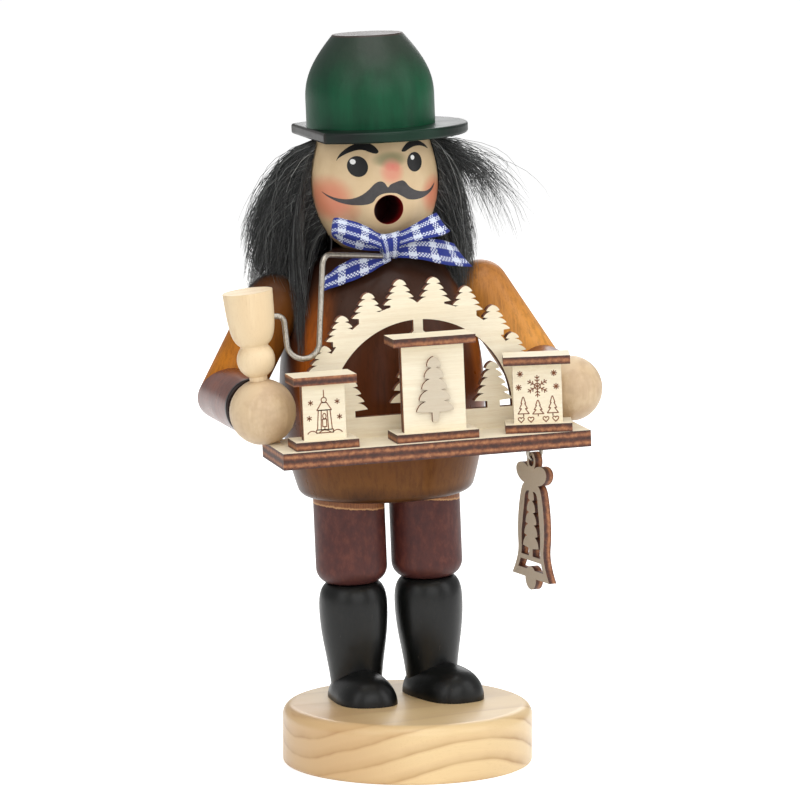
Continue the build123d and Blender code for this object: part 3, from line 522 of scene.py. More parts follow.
def gingham_build(net):
    """Two white stripes along a blue ribbon and white bars across it; threads mix where they differ."""
    uv = net.node("UVMap").outputs[0]
    along, across, _ = net.split(uv)
    off = net.size(across)
    stripe = net.times(net.rise(off, 0.85, 0.95), net.rise(off, 2.2, 2.1))
    phase = net.math("FRACT", net.math("DIVIDE", along, CHECK_LENGTH))
    bar = net.times(net.rise(phase, 0.0, 0.03), net.rise(phase, 0.38, 0.35))
    turns = pi / THREAD
    weave = net.times(net.math("SINE", net.times(along, turns)), net.math("SINE", net.times(across, turns)))
    white = net.plus(net.times(net.rise(weave, -0.06, 0.12), stripe),
                     net.times(net.rise(weave, 0.06, -0.12), bar))
    fray = net.streaks(uv, (3.0, 3.0, 1.0), EVEN)
    blue = net.ramp(fray, (0.3, (14, 30, 118)), (0.7, (27, 50, 148)))
    pale = net.ramp(fray, (0.3, (212, 222, 240)), (0.7, (238, 243, 250)))
    return surface(net.mix(white, blue, pale), 0.7, net.bump(net.size(weave), 0.08))


LEANED_UP = (-sin(LEAN), 0.0, cos(LEAN))
FRONT_TO_BACK = (0.0, 1.0, 0.0)
LEFT_STALL_TURN = radians(-14.0)
LEFT_STALL_FACE = (-sin(LEFT_STALL_TURN), cos(LEFT_STALL_TURN), 0.0)
BELL_TURN = radians(-79.0)
BELL_FACE = (sin(BELL_TURN), -cos(BELL_TURN), 0.0)
TROUSER_COAT = coat(0.05, 0.35, 0.3)
TURNED_COAT = coat(0.08, 0.3)
METAL = {"Metallic": 1.0}
WOVEN = {"Sheen Weight": 0.08, "Sheen Roughness": 0.5}


def dress(nodes, *look):
    """Give CAD nodes, named in one string, a material."""
    made = material(*look)
    for node in nodes.split():
        NODES[node].data.materials.clear()
        NODES[node].data.materials.append(made)


dress("base_disc", "lacquered_pine", pine_build, coat(0.25, 0.15))
dress("pipe", "bare_turned_wood", bare_wood_build, TURNED_COAT,
      (236, 212, 173), (229, 202, 161), (209, 176, 133), 0.0)
dress("right_hand left_hand", "hand_wood", bare_wood_build, TURNED_COAT,
      (218, 193, 157), (211, 184, 147), (194, 163, 124), 0.4)
dress("leg_dowels seat_plug shoulder_dowels elbow_dowels wrist_dowels hat_dowel tray_pins", "inner_beech",
      inner_beech_build, {})
dress("right_boot_shaft left_boot_shaft right_boot_foot left_boot_foot", "boot_lacquer", boot_build,
      coat(0.06, 0.2, 0.3))
dress("right_trouser_leg", "right_trouser_stain", trouser_build, TROUSER_COAT, -10.0, 2.5, 4.4)
dress("left_trouser_leg", "left_trouser_stain", trouser_build, TROUSER_COAT, 10.0, 1.3, 3.2)
dress("torso_barrel", "coat_lacquer", torso_build, coat(0.02, 0.12, 0.12))
dress("right_upper_arm", "right_sleeve_lacquer", sleeve_build, coat(0.02, 0.2, 0.1),
      ((118, 66, 26), (172, 104, 36), (192, 118, 36), (158, 95, 36), (58, 33, 25)), 0.6)
dress("left_upper_arm", "left_sleeve_lacquer", sleeve_build, coat(0.06, 0.2, 0.25),
      ((150, 88, 36), (206, 134, 56), (226, 156, 70), (204, 136, 60), (190, 124, 58)), 0.1)
dress("right_forearm left_forearm", "cuff_lacquer", cuff_build, coat(0.12, 0.15, 0.28))
dress("head", "face_lacquer", head_build, coat(0.15, 0.25))
dress("hat_crown", "hat_lacquer", hat_build, coat(0.06, 0.2, 0.2))
dress("hat_brim", "brim_lacquer", brim_build, coat(0.05, 0.2, 0.18))
dress("right_stall_base right_stall_roof centre_stall_base centre_stall_roof left_stall_base left_stall_roof",
      "plywood_flat", board_build, {}, LEANED_UP, 2.3)
dress("tray", "plywood_tray", board_build, {}, LEANED_UP, 2.2, 78.5)
dress("candle_arch right_stall_panel centre_stall_panel", "plywood_upright", board_build, {},
      FRONT_TO_BACK, 2.4)
# The tree's faces carry painted shade through the Shade share.
dress("centre_stall_tree", "plywood_tree", board_build, {}, FRONT_TO_BACK, 1.0, 0.0, 0.45)
dress("left_stall_panel", "plywood_left_stall", board_build, {}, LEFT_STALL_FACE, 3.0)
# The bell's faces carry painted shade through the Shade share.
dress("bell_ornament", "plywood_bell", board_build, {}, BELL_FACE, 2.2, 0.0, 0.75)
dress("pipe_wire_stem bell_eye dish_nail", "drawn_wire", metal_build, METAL, (4.0, 4.0, 0.3), GRAINY,
      (0.3, (128, 120, 109)), (0.7, (184, 178, 167)), 0.25, 0.2, 0.03)
dress("incense_dish", "pressed_tin", metal_build, METAL, (0.3, 0.3, 0.3), PATCHY,
      (0.35, (120, 104, 82)), (0.65, (186, 172, 146)), 0.3, 0.25, 0.05)
BURNT_LINE = material("burnt_line", engraving_build, {})
FUR = material("dark_fur", hair_build, coat(0.1, 0.3))
BLACK_PAINT = material("black_face_paint", face_paint_build, coat(0.05, 0.2, 0.3), (9, 8, 8), (19, 17, 17))
GREY_PAINT = material("charcoal_face_paint", face_paint_build, coat(0.1, 0.3), (44, 41, 42), (58, 54, 55))
WHITE_PAINT = material("white_face_paint", face_paint_build, coat(0.2, 0.2), (238, 238, 236), (250, 250, 248))
GINGHAM = material("gingham", gingham_build, WOVEN)


def add_object(name, data):
    made = bpy.data.objects.new(name, data)
    bpy.context.scene.collection.objects.link(made)
    return made


def add_piece(name, points, faces, look, uvs=None, smooth=True):
    """New mesh object from figure-frame millimetres."""
    mesh = bpy.data.meshes.new(name)
    mesh.from_pydata([TO_ROW @ Vector(point) for point in points], [], [list(face) for face in faces])
    if uvs is not None:
        layer = mesh.uv_layers.new(name="UVMap")
        for loop in mesh.loops:
            layer.data[loop.index].uv = uvs[loop.vertex_index]
    mesh.polygons.foreach_set("use_smooth", [smooth] * len(mesh.polygons))
    mesh.materials.append(look)
    return add_object(name, mesh)


def settle(piece):
    """Turn a piece's modifiers into plain mesh."""
    bpy.context.view_layer.update()
    seen = piece.evaluated_get(bpy.context.evaluated_depsgraph_get())
    mesh = bpy.data.meshes.new_from_object(seen)
    piece.modifiers.clear()
    piece.data = mesh
    return piece


def thicken(piece, thickness, offset):
    """Give a sheet its thickness in millimetres; offset 0 keeps the sheet in the middle."""
    modifier = piece.modifiers.new("thickness", "SOLIDIFY")
    modifier.thickness = thickness * MM
    modifier.offset = offset
    return settle(piece)


def belongs(piece, body, slot, *replaced):
    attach(piece, body)
    if replaced:
        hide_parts(*replaced)


def grid_faces(rows, columns):
    """Faces of a grid whose points are listed row by row."""
    corners = [row * columns + column for row in range(rows - 1) for column in range(columns - 1)]
    return [(corner, corner + 1, corner + columns + 1, corner + columns) for corner in corners]


def span_point(before, start, end, after, part):
    """Point of a smooth curve through four points, part of the way from start to end."""
    return 0.5 * (2 * start + (end - before) * part
                  + (2 * before - 5 * start + 4 * end - after) * part ** 2
                  + (3 * start - before - 3 * end + after) * part ** 3)


def smooth_line(points, count):
    """Smooth line through points, evenly stepped in its parameter."""
    points = np.asarray(points, float)
    padded = np.vstack([2 * points[0] - points[1], points, 2 * points[-1] - points[-2]])
    made = []
    for step in np.linspace(0, len(points) - 1 - TINY, count):
        place = int(step)
        made.append(span_point(*padded[place:place + 4], step - place))
    return np.array(made)


def smooth_ring(points, per_span):
    """Smooth closed outline through points."""
    points = np.asarray(points, float)
    made = []
    for place in range(len(points)):
        corners = [points[(place + shift) % len(points)] for shift in (-1, 0, 1, 2)]
        made += [span_point(*corners, part) for part in np.arange(per_span) / per_span]
    return np.array(made)


# Face paint

PAINT_LIFT = 0.05
PAINT_GRID = 0.7
WELD_DISTANCE = 1e-4
FAR_IN_FRONT = -60.0
HEAD_MESH = NODES["head"].data
HEAD_TREE = BVHTree.FromPolygons([TO_FIGURE @ vertex.co for vertex in HEAD_MESH.vertices],
                                 [polygon.vertices[:] for polygon in HEAD_MESH.polygons])


def inside(point, outline):
    """Even-odd test of a point in a flat outline."""
    x, y = point
    hit = False
    for (x0, y0), (x1, y1) in zip(outline, np.roll(outline, -1, axis=0)):
        if (y0 > y) != (y1 > y) and x < (x1 - x0) * (y - y0) / (y1 - y0) + x0:
            hit = not hit
    return hit


def painted(name, outline, look, coats=1):
    """Thin coat of paint on the face: an outline in x and height above the neck, laid on the head."""
    columns, rows = (np.arange(low, high, PAINT_GRID) for low, high in zip(outline.min(0), outline.max(0)))
    grid = [(x, z) for x in columns for z in rows if inside((x, z), outline)]
    corners = [Vector(point) for point in (*outline, *grid)]
    rim = list(range(len(outline)))
    edges = list(zip(rim, rim[1:] + rim[:1]))
    flat, _, faces, *_ = delaunay_2d_cdt(corners, edges, [rim], 1, WELD_DISTANCE)
    points = []
    for point in flat:
        ahead = Vector((point.x, FAR_IN_FRONT, point.y + NECK))
        hit, normal, *_ = HEAD_TREE.ray_cast(ahead, Vector(FRONT_TO_BACK))
        points.append(hit + normal * PAINT_LIFT * coats)
    return add_piece(name, points, faces, look)


def oval(centre, half_width, half_height, tilt=0.0, count=40):
    angles = np.linspace(0, 2 * pi, count, endpoint=False)
    x = half_width * np.cos(angles)
    z = half_height * np.sin(angles)
    slope = radians(tilt)
    return np.stack([centre[0] + x * cos(slope) - z * sin(slope),
                     centre[1] + x * sin(slope) + z * cos(slope)], -1)


RIGHT_BROW = ((-12.8, 24.9), (-11.9, 26.6), (-10.2, 28.2), (-8.2, 29.3), (-6.1, 29.7), (-4.4, 29.5),
              (-3.0, 28.6), (-2.1, 27.3), (-2.6, 26.7), (-3.6, 26.8), (-4.7, 27.2), (-5.8, 27.7),
              (-7.4, 27.8), (-9.2, 27.3), (-10.9, 26.5), (-12.2, 25.6))
LEFT_BROW = ((4.4, 26.9), (5.1, 27.9), (6.7, 29.1), (9.0, 29.4), (10.9, 28.8), (12.5, 27.7), (13.3, 26.6),
             (12.2, 27.2), (10.4, 27.8), (8.4, 27.8), (6.8, 27.3), (5.4, 26.7))
MOUSTACHE = ((-16.3, 16.5), (-15.4, 15.8), (-14.0, 15.1), (-12.5, 14.7), (-10.6, 14.6), (-8.7, 15.0),
             (-6.9, 15.9), (-5.4, 17.1), (-4.2, 18.3), (-3.2, 19.0), (-2.1, 19.2), (-1.1, 18.7),
             (-0.3, 17.5), (0.5, 18.2), (2.2, 18.8), (3.9, 19.1), (4.9, 18.5), (5.9, 17.3), (7.6, 16.2),
             (9.5, 15.6), (11.5, 15.5), (13.2, 16.1), (14.7, 17.3), (13.7, 15.6), (11.9, 14.4), (9.9, 13.7),
             (7.6, 13.5), (5.5, 13.8), (4.4, 14.4), (3.4, 15.0), (2.0, 15.7), (0.0, 15.95), (-2.0, 15.7),
             (-3.4, 14.9), (-4.4, 13.6), (-6.1, 13.0), (-8.4, 12.9), (-10.6, 13.1), (-12.7, 13.7),
             (-14.5, 14.7), (-15.6, 15.6))
PAINTED = (
    ("right_brow_paint", smooth_ring(RIGHT_BROW, 4), BLACK_PAINT),
    ("left_brow_paint", smooth_ring(LEFT_BROW, 4), BLACK_PAINT),
    ("moustache_paint", smooth_ring(MOUSTACHE, 3), GREY_PAINT),
    ("right_eye_paint", oval((-7.85, 23.4), 2.6, 2.8, 6.0), BLACK_PAINT),
    ("left_eye_paint", oval((8.1, 23.7), 2.35, 2.62, -6.0), BLACK_PAINT),
    ("right_eye_glint", oval((-8.95, 24.7), 0.72, 0.72, 0.0, 20), WHITE_PAINT, 2),
    ("left_eye_glint", oval((7.5, 24.95), 0.6, 0.66, 0.0, 20), WHITE_PAINT, 2),
)
for paint_row in PAINTED:
    belongs(painted(*paint_row), "figure", "face_tan")


# Bow tie

RIBBON_THICKNESS = 0.24
RIBBON_COLUMNS = 11
WAVES_ALONG = 1.3
WAVES_ACROSS = 4.0


def ribbon(node, top, low, along=64, crown=0.35, wave=0.12, start=0.0):
    """Wavy ribbon between two edge lines of (x, y, height above the neck); start shifts its checks."""
    first = smooth_line(top, along) + (0, 0, NECK)
    second = smooth_line(low, along) + (0, 0, NECK)
    middle = (first + second) / 2
    runs = np.r_[0, np.cumsum(np.linalg.norm(np.diff(middle, axis=0), axis=1))] + start
    face = np.cross(np.gradient(middle, axis=0), second - first)
    face /= np.linalg.norm(face, axis=1)[:, None]
    points, uvs = [], []
    for row in range(along):
        for share in np.arange(RIBBON_COLUMNS) / (RIBBON_COLUMNS - 1):
            swell = crown * 4 * share * (1 - share)
            swell += wave * sin(WAVES_ALONG * runs[row] + WAVES_ACROSS * share)
            points.append(first[row] * (1 - share) + second[row] * share + face[row] * swell)
            uvs.append((runs[row], (share - 0.5) * RIBBON_WIDTH))
    piece = add_piece(node + "_ribbon", points, grid_faces(along, RIBBON_COLUMNS), GINGHAM, uvs)
    belongs(thicken(piece, RIBBON_THICKNESS, 0.0), "figure", "gingham_ribbon", node)


BOW_RIBBONS = (
    ("bow_right_loop", {"start": 1.0},
     ((-2.2, -19.0, 4.6), (-4.8, -19.8, 5.9), (-7.6, -20.0, 7.7), (-10.6, -19.4, 9.0),
      (-14.6, -17.8, 10.1), (-15.5, -16.2, 9.6), (-14.8, -15.0, 8.6), (-10.0, -15.2, 7.0),
      (-6.0, -15.9, 5.2), (-2.6, -16.6, 4.2)),
     ((-2.4, -20.0, 0.4), (-5.0, -21.0, 1.9), (-8.4, -21.4, 3.4), (-12.0, -20.8, 4.9),
      (-15.2, -19.0, 5.9), (-16.0, -17.2, 5.3), (-14.4, -16.2, 3.8), (-11.6, -16.4, 2.0),
      (-7.6, -16.9, 0.8), (-2.8, -17.2, 0.2))),
    ("bow_left_loop", {"start": 2.2},
     ((1.4, -19.0, 5.0), (4.0, -19.6, 6.2), (7.0, -19.8, 7.6), (10.0, -19.2, 8.9), (12.6, -17.6, 9.6),
      (12.9, -16.2, 9.3), (9.8, -15.6, 7.8), (6.0, -15.8, 6.0), (1.6, -16.6, 4.6)),
     ((1.6, -20.2, 1.6), (4.4, -21.2, 2.4), (8.2, -21.6, 3.2), (12.8, -20.6, 3.6), (16.1, -18.6, 4.3),
      (16.3, -17.0, 4.6), (12.6, -16.4, 3.2), (7.2, -16.6, 2.0), (1.8, -17.2, 1.4))),
    ("bow_right_tail", {"crown": 0.15},
     ((-0.9, -17.6, 0.2), (-3.6, -17.2, -0.4), (-7.0, -16.4, -0.9), (-10.6, -15.2, -1.7),
      (-14.4, -14.2, -3.6), (-17.6, -13.2, -6.1)),
     ((-0.4, -18.6, -2.4), (-3.4, -19.4, -3.6), (-7.4, -19.6, -5.5), (-11.6, -18.7, -7.2),
      (-15.6, -16.8, -8.7), (-19.4, -14.0, -10.2))),
    ("bow_left_tail", {"crown": 0.2, "start": 3.0},
     ((1.0, -18.4, 2.0), (4.2, -18.8, 2.8), (8.4, -18.8, 3.1), (12.6, -18.0, 2.5), (15.4, -16.8, 1.7),
      (18.2, -15.2, 0.6)),
     ((0.8, -19.2, -1.6), (4.4, -19.8, -2.0), (9.0, -19.8, -2.9), (14.0, -18.8, -4.4),
      (18.6, -17.0, -5.4), (23.2, -14.6, -6.1))),
)
for bow_node, bow_settings, top_edge, low_edge in BOW_RIBBONS:
    ribbon(bow_node, top_edge, low_edge, **bow_settings)


def knot():
    """Short ribbon wound round the middle of the bow, wider above than below."""
    left_edge, right_edge = [], []
    for angle in np.linspace(0, 2 * pi, 29):
        up = cos(angle)
        z = 1.5 + 3.9 * up
        y = -18.2 - 2.6 * sin(angle) - 0.5 * up
        half = 2.35 + 0.75 * up
        middle = -0.75 - 0.35 * up
        left_edge.append((middle - half, y, z - 0.25))
        right_edge.append((middle + half, y, z + 0.25))
    ribbon("bow_knot", left_edge, right_edge, along=72, crown=-0.55, wave=0.05)


knot()


# Hair

HAIR_SEED = 11
STRAND_POINTS = 8
STRAND_RADIUS = 0.082
STRAND_SIDES = 3
TIP_THINNING = 0.85
TIP_CURVE = 1.6
STAND_OFF_RATE = 2.4
STRAIGHT_FALL = 0.25
FALL_CURVE = 1.35
DRIFT_CURVE = 1.5
PULL_CURVE = 1.2
ROOT_LIFT = 0.2
BODY_GAP = 0.5
FRIZZ = 0.2
TUFT_SPREAD = 0.55
LOCK_HEIGHTS = (5.0, 29.8)
LOCK_PULL = 0.72
LOW_LOCK_SHARE = 0.68
LOOSE_PULL = 0.6
LOOSE_TUFTS = 45
LOOSE_WILD = 2.0
LOOSE_LEAST_REACH = 5.0
LOOSE_REACH_SHAPE = (1.1, 2.4)
LOOSE_DROP = (0.35, 1.5)
# The loose strands' tones are lighter than the locks': more of them carry painted highlight.
LOOSE_TONES = (2.0, 2.2)
HAIR_BAND = 30.0
# Radius of the head by height above the neck, and of the torso by height
HEAD_PROFILE = ((0.0, 4.0, 8.0, 12.0, 16.0, 18.6, 24.0, 30.3),
                (9.5, 12.9, 15.2, 16.8, 17.6, 17.8, 17.2, 15.4))
TORSO_PROFILE = ((85.5, 100.0, 111.5, 116.0, 120.0, 123.0, 126.0),
                 (28.4, 26.9, 23.6, 21.2, 18.0, 15.0, 12.0))
SHOULDERS = np.array(((-29.3, 0.0, 112.0), (29.3, 0.0, 112.0)))
SHOULDER_RADIUS = 8.4


def body_radius(z):
    """Radius of the head above the neck and of the torso below it."""
    return np.where(z > NECK, np.interp(z - NECK, *HEAD_PROFILE), np.interp(z, *TORSO_PROFILE))


def keep_off(points):
    """Push strand points out of the head, torso and shoulders."""
    flat = np.hypot(points[..., 0], points[..., 1]) + TINY
    grow = np.maximum((body_radius(points[..., 2]) + BODY_GAP) / flat, 1.0)
    points[..., :2] *= grow[..., None]
    for centre in SHOULDERS:
        apart = points - centre
        size = np.linalg.norm(apart, axis=-1, keepdims=True) + TINY
        points[:] = np.where(size < SHOULDER_RADIUS, centre + apart / size * SHOULDER_RADIUS, points)
    return points


def strand_lines(rng, angles, heights, lengths, flare, wild, sweep=0.0):
    """Strands that stand off the head by flare and fall by their lengths; sweep and wild bend them aside."""
    share = np.linspace(0, 1, STRAND_POINTS)
    level = np.zeros_like(angles)
    outward = np.stack([-np.sin(angles), -np.cos(angles), level], -1)
    sideways = np.stack([np.cos(angles), -np.sin(angles), level], -1)
    roots = outward * (body_radius(heights) + ROOT_LIFT)[:, None]
    roots[:, 2] = heights
    out = flare[:, None] * (1.0 - np.exp(-STAND_OFF_RATE * share))
    drift = rng.normal(sweep, wild, len(angles))[:, None] * share ** DRIFT_CURVE
    lines = roots[:, None, :] + outward[:, None, :] * out[..., None] + sideways[:, None, :] * drift[..., None]
    lines[..., 2] -= lengths[:, None] * (STRAIGHT_FALL * share + (1 - STRAIGHT_FALL) * share ** FALL_CURVE)
    lines += np.cumsum(rng.normal(0, FRIZZ, lines.shape), axis=1) * share[None, :, None]
    return lines


def clumped(rng, lines, tufts, strength):
    """Draw the strands' ends towards the nearest of a few guide strands."""
    guides = rng.choice(len(lines), tufts, replace=False)
    roots = lines[:, 0]
    apart = np.linalg.norm(roots[:, None] - roots[guides][None], axis=-1)
    nearest = guides[np.argmin(apart, axis=1)]
    pull = (strength * np.linspace(0, 1, STRAND_POINTS) ** PULL_CURVE)[None, :, None]
    offset = rng.normal(0, TUFT_SPREAD, (len(lines), 1, 3))
    return lines * (1 - pull) + (lines[nearest] + offset) * pull


def tube_build(net, given):
    """Turns mesh edges into tubes; Sides and Root Radius are set on the modifier."""
    curve = net.node("GeometryNodeMeshToCurve", {"Mesh": given["Geometry"]}).outputs[0]
    circle = net.node("GeometryNodeCurvePrimitiveCircle", {"Resolution": given["Sides"], "Radius": 1.0})
    taper = net.node("GeometryNodeInputNamedAttribute", {"Name": "taper"}).outputs[0]
    thick = net.times(taper, given["Root Radius"])
    drawn = {"Curve": curve, "Profile Curve": circle.outputs[0], "Scale": thick}
    tube = net.node("GeometryNodeCurveToMesh", drawn).outputs[0]
    real = net.node("GeometryNodeRealizeInstances", {"Geometry": tube}).outputs[0]
    dressed = net.node("GeometryNodeSetMaterial", {"Geometry": real, "Material": FUR})
    return {"Geometry": dressed.outputs[0]}


TUBE_TREE = node_group("strand_tubes", {"Geometry": "Geometry", "Sides": "Int", "Root Radius": "Float"},
                       {"Geometry": "Geometry"}, tube_build, "GeometryNodeTree")
TUBE_SIZES = {"Sides": STRAND_SIDES, "Root Radius": STRAND_RADIUS * MM}


def strand_tubes(name, lines, tones):
    """Mesh edges along the strands, turned into tapered tubes by geometry nodes, then into plain mesh."""
    count, steps, _ = lines.shape
    mesh = bpy.data.meshes.new(name)
    turn = np.array(TO_ROW)
    placed = lines.reshape(-1, 3) @ turn[:3, :3].T + turn[:3, 3]
    number = np.arange(count * steps).reshape(count, steps)
    edges = np.stack([number[:, :-1].ravel(), number[:, 1:].ravel()], -1)
    mesh.from_pydata(placed.tolist(), edges.tolist(), [])
    thinned = 1.0 - TIP_THINNING * np.linspace(0, 1, steps) ** TIP_CURVE
    for label, values in (("taper", np.tile(thinned, count)), ("tone", np.repeat(tones, steps))):
        attribute = mesh.attributes.new(label, "FLOAT", "POINT")
        attribute.data.foreach_set("value", values.astype(np.float32))
    piece = add_object(name, mesh)
    modifier = piece.modifiers.new("tubes", "NODES")
    modifier.node_group = TUBE_TREE
    for socket in TUBE_TREE.interface.items_tree:
        if socket.in_out == "INPUT" and socket.name in TUBE_SIZES:
            modifier[socket.identifier] = TUBE_SIZES[socket.name]
    settle(piece)
    piece.data.polygons.foreach_set("use_smooth", [True] * len(piece.data.polygons))
    return piece


def combed(rng, name, lines, tufts, strength, tone_shape):
    """Strands drawn into tufts, each with a tone of its own."""
    lines = keep_off(clumped(rng, lines, tufts, strength))
    return strand_tubes(name, lines, rng.beta(*tone_shape, len(lines)))


def hair_lock(rng, name, span, count, flare, lengths, wild, tufts, tone_shape=(1.5, 2.6), sweep=0.0):
    """One part of the fur over a span of degrees from the front, plus towards the pipe hand."""
    angles = np.radians(rng.uniform(*span, count))
    heights = NECK + rng.uniform(*LOCK_HEIGHTS, count)
    length_share = LOW_LOCK_SHARE + (1 - LOW_LOCK_SHARE) * (heights - NECK) / HAIR_BAND
    drop = rng.uniform(*lengths, count) * length_share
    lines = strand_lines(rng, angles, heights, drop, rng.uniform(*flare, count), wild, sweep)
    return combed(rng, name, lines, tufts, LOCK_PULL, tone_shape)


def fly_away(rng, name, span, rows, furthest, count):
    """Loose strands that stand out below the brim."""
    angles = np.radians(rng.uniform(*span, count))
    heights = NECK + rng.uniform(*rows, count)
    reach = LOOSE_LEAST_REACH + furthest * rng.beta(*LOOSE_REACH_SHAPE, count)
    drop = reach * rng.uniform(*LOOSE_DROP, count)
    lines = strand_lines(rng, angles, heights, drop, reach, LOOSE_WILD)
    return combed(rng, name, lines, LOOSE_TUFTS, LOOSE_PULL, LOOSE_TONES)


PELT_ROWS = 14
PELT_COLUMNS = 48
PELT_SPAN = (88, 286)
PELT_TOP = BRIM - 0.4
PELT_LOW = NECK - 6.0
PELT_LEAST_RADIUS = 12.5
PELT_GAP = 0.3
PELT_SWELL = 3.0
PELT_THICKNESS = 0.4


def pelt():
    """Dark pelt that the fur grows from, close round the head and neck."""
    points = []
    for row in np.arange(PELT_ROWS) / (PELT_ROWS - 1):
        z = PELT_TOP + (PELT_LOW - PELT_TOP) * row
        radius = max(float(body_radius(z)) + PELT_GAP, PELT_LEAST_RADIUS)
        swell = PELT_SWELL * sin(pi * row)
        for column in np.arange(PELT_COLUMNS) / (PELT_COLUMNS - 1):
            angle = radians(PELT_SPAN[0] + (PELT_SPAN[1] - PELT_SPAN[0]) * column)
            reach = radius + swell * sin(pi * column) ** 0.6
            points.append((-reach * sin(angle), -reach * cos(angle), z))
    piece = add_piece("hair_pelt", points, grid_faces(PELT_ROWS, PELT_COLUMNS), FUR)
    return thicken(piece, PELT_THICKNESS, -1.0)


draws = np.random.default_rng(HAIR_SEED)
HAIR_PIECES = [
    hair_lock(draws, "hair_right", (82, 134), 3500, (4.0, 23.0), (15.0, 39.0), 3.2, 190),
    hair_lock(draws, "hair_back", (130, 238), 3500, (5.0, 14.0), (20.0, 42.0), 3.2, 220),
    # hair_left gets lighter tones than the other locks: more painted highlight on this side.
    hair_lock(draws, "hair_left", (-124, -68), 3500, (2.5, 12.0), (15.0, 45.0), 2.8, 190, (1.8, 2.3)),
    hair_lock(draws, "hair_fall", (83, 96), 200, (7.0, 11.0), (38.0, 50.0), 1.6, 9, sweep=10.0),
    fly_away(draws, "hair_loose", (-112, -70), (24.0, 29.6), 34.0, 480),
    fly_away(draws, "hair_wisps", (84, 128), (6.0, 21.0), 18.0, 320),
    pelt(),
]
for hair_piece in HAIR_PIECES:
    belongs(hair_piece, "figure", "hair_fur")
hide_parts("hair")


# Burnt line drawings on the outer stalls

LINE_WIDTH = 0.28
LINE_LIFT = 0.015
# Shares of a straight line where points are added, so that its corners stay narrow
LINE_STEPS = (0.0, 0.04, 0.5, 0.96)


def line_mesh(strokes):
    """Flat strips along strokes of (u, v) points, mitred at the corners."""
    points, faces = [], []
    for stroke in strokes:
        line = np.asarray(stroke, float)
        forward = np.gradient(line, axis=0)
        if np.allclose(line[0], line[-1]):
            forward[0] = forward[-1] = line[1] - line[-2]
        forward /= np.linalg.norm(forward, axis=1)[:, None] + TINY
        side = np.stack([-forward[:, 1], forward[:, 0]], -1) * LINE_WIDTH / 2
        first = len(points)
        for here, off in zip(line, side):
            points += [here + off, here - off]
        for step in range(len(line) - 1):
            corner = first + 2 * step
            faces.append((corner, corner + 1, corner + 3, corner + 2))
    return points, faces


def path(*points):
    """Line through points."""
    made = []
    for (u0, v0), (u1, v1) in zip(points[:-1], points[1:]):
        made += [(u0 + (u1 - u0) * share, v0 + (v1 - v0) * share) for share in LINE_STEPS]
    return made + [points[-1]]


def closed(*points):
    return path(*points, points[0])


def off_centre(centre, radius, angle, squeeze=1.0):
    """Point at an angle round a centre."""
    return (centre[0] + radius * cos(angle), centre[1] + squeeze * radius * sin(angle))


def ring(centre, radius, start=0, end=360, squeeze=1.0):
    return [off_centre(centre, radius, angle, squeeze) for angle in np.radians(np.linspace(start, end, 20))]


def star(centre, radius, points=6):
    angles = [pi * (place / points * 2 + 0.5) for place in range(points)]
    return [path(centre, off_centre(centre, radius, angle)) for angle in angles]


def little_fir(foot, width, height):
    u, v = foot
    outline = [(u, v), (u, v + 0.15 * height)]
    for tier in range(3):
        reach = width / 2 * (1 - tier / 3.4)
        base = v + height * (0.15 + 0.26 * tier)
        outline += [(u + reach, base), (u + 0.35 * reach, base + 0.26 * height)]
    right_side = outline + [(u, v + height)]
    mirrored = [(2 * u - a, b) for a, b in right_side]
    return [path(*right_side), path(*mirrored)]


def heart(centre, size):
    made = []
    for a in np.linspace(0, 2 * pi, 24):
        u = 16 * sin(a) ** 3
        v = 13 * cos(a) - 5 * cos(2 * a) - 2 * cos(3 * a) - cos(4 * a)
        made.append((centre[0] + size * u, centre[1] + size * v))
    return made


def lantern_drawing():
    """A lantern on a hook among four stars, on a snowy ground."""
    strokes = [
        closed((-2.0, 2.6), (2.0, 2.6), (1.6, 7.8), (-1.6, 7.8)),
        closed((-2.3, 1.8), (2.3, 1.8), (2.3, 2.6), (-2.3, 2.6)),
        closed((-2.0, 7.8), (2.0, 7.8), (0.7, 9.8), (-0.7, 9.8)),
        ring((0, 10.5), 0.7),
        path((0, 2.6), (0, 3.4)),
        closed((-0.55, 3.4), (0.55, 3.4), (0.55, 5.4), (-0.55, 5.4)),
        ring((0, 6.2), 0.45, squeeze=1.6),
        path((-1.0, 2.6), (-0.8, 7.8)),
        path((1.0, 2.6), (0.8, 7.8)),
        ring((-3.4, 0.9), 1.5, 30, 150),
        ring((0.0, 0.4), 2.1, 40, 140),
        ring((3.4, 0.9), 1.5, 30, 150),
    ]
    for centre in ((-3.6, 9.9), (3.6, 9.9), (-4.1, 5.8), (4.1, 5.8)):
        strokes += star(centre, 0.75)
    return strokes + [path((0, 11.2), (0, 13.2))]


def winter_drawing():
    """A big snowflake among stars over three firs, with hearts along the foot."""
    middle = (0, 9.8)
    strokes = []
    for place in range(6):
        angle = pi / 3 * place + pi / 6
        strokes.append(path(middle, off_centre(middle, 3.0, angle)))
        for reach in (1.3, 2.1):
            start = off_centre(middle, reach, angle)
            strokes += [path(start, off_centre(start, 0.8, angle + turn)) for turn in (-0.9, 0.9)]
    strokes.append(ring(middle, 0.8))
    for u, height in ((-3.9, 5.4), (0.0, 4.4), (3.9, 5.4)):
        strokes += little_fir((u, 1.7), 3.0, height)
    strokes += [heart((u, 0.95), 0.05) for u in (-4.6, -2.0, 2.0, 4.6)]
    for centre in ((-4.5, 13.2), (4.5, 13.2), (-5.0, 9.6), (5.0, 9.6)):
        strokes += star(centre, 0.85, 8)
    return strokes


PANEL_FOOT = 81.9
STALL_MIDDLE_Y = -53.75
PANEL_FRONT = 2.25


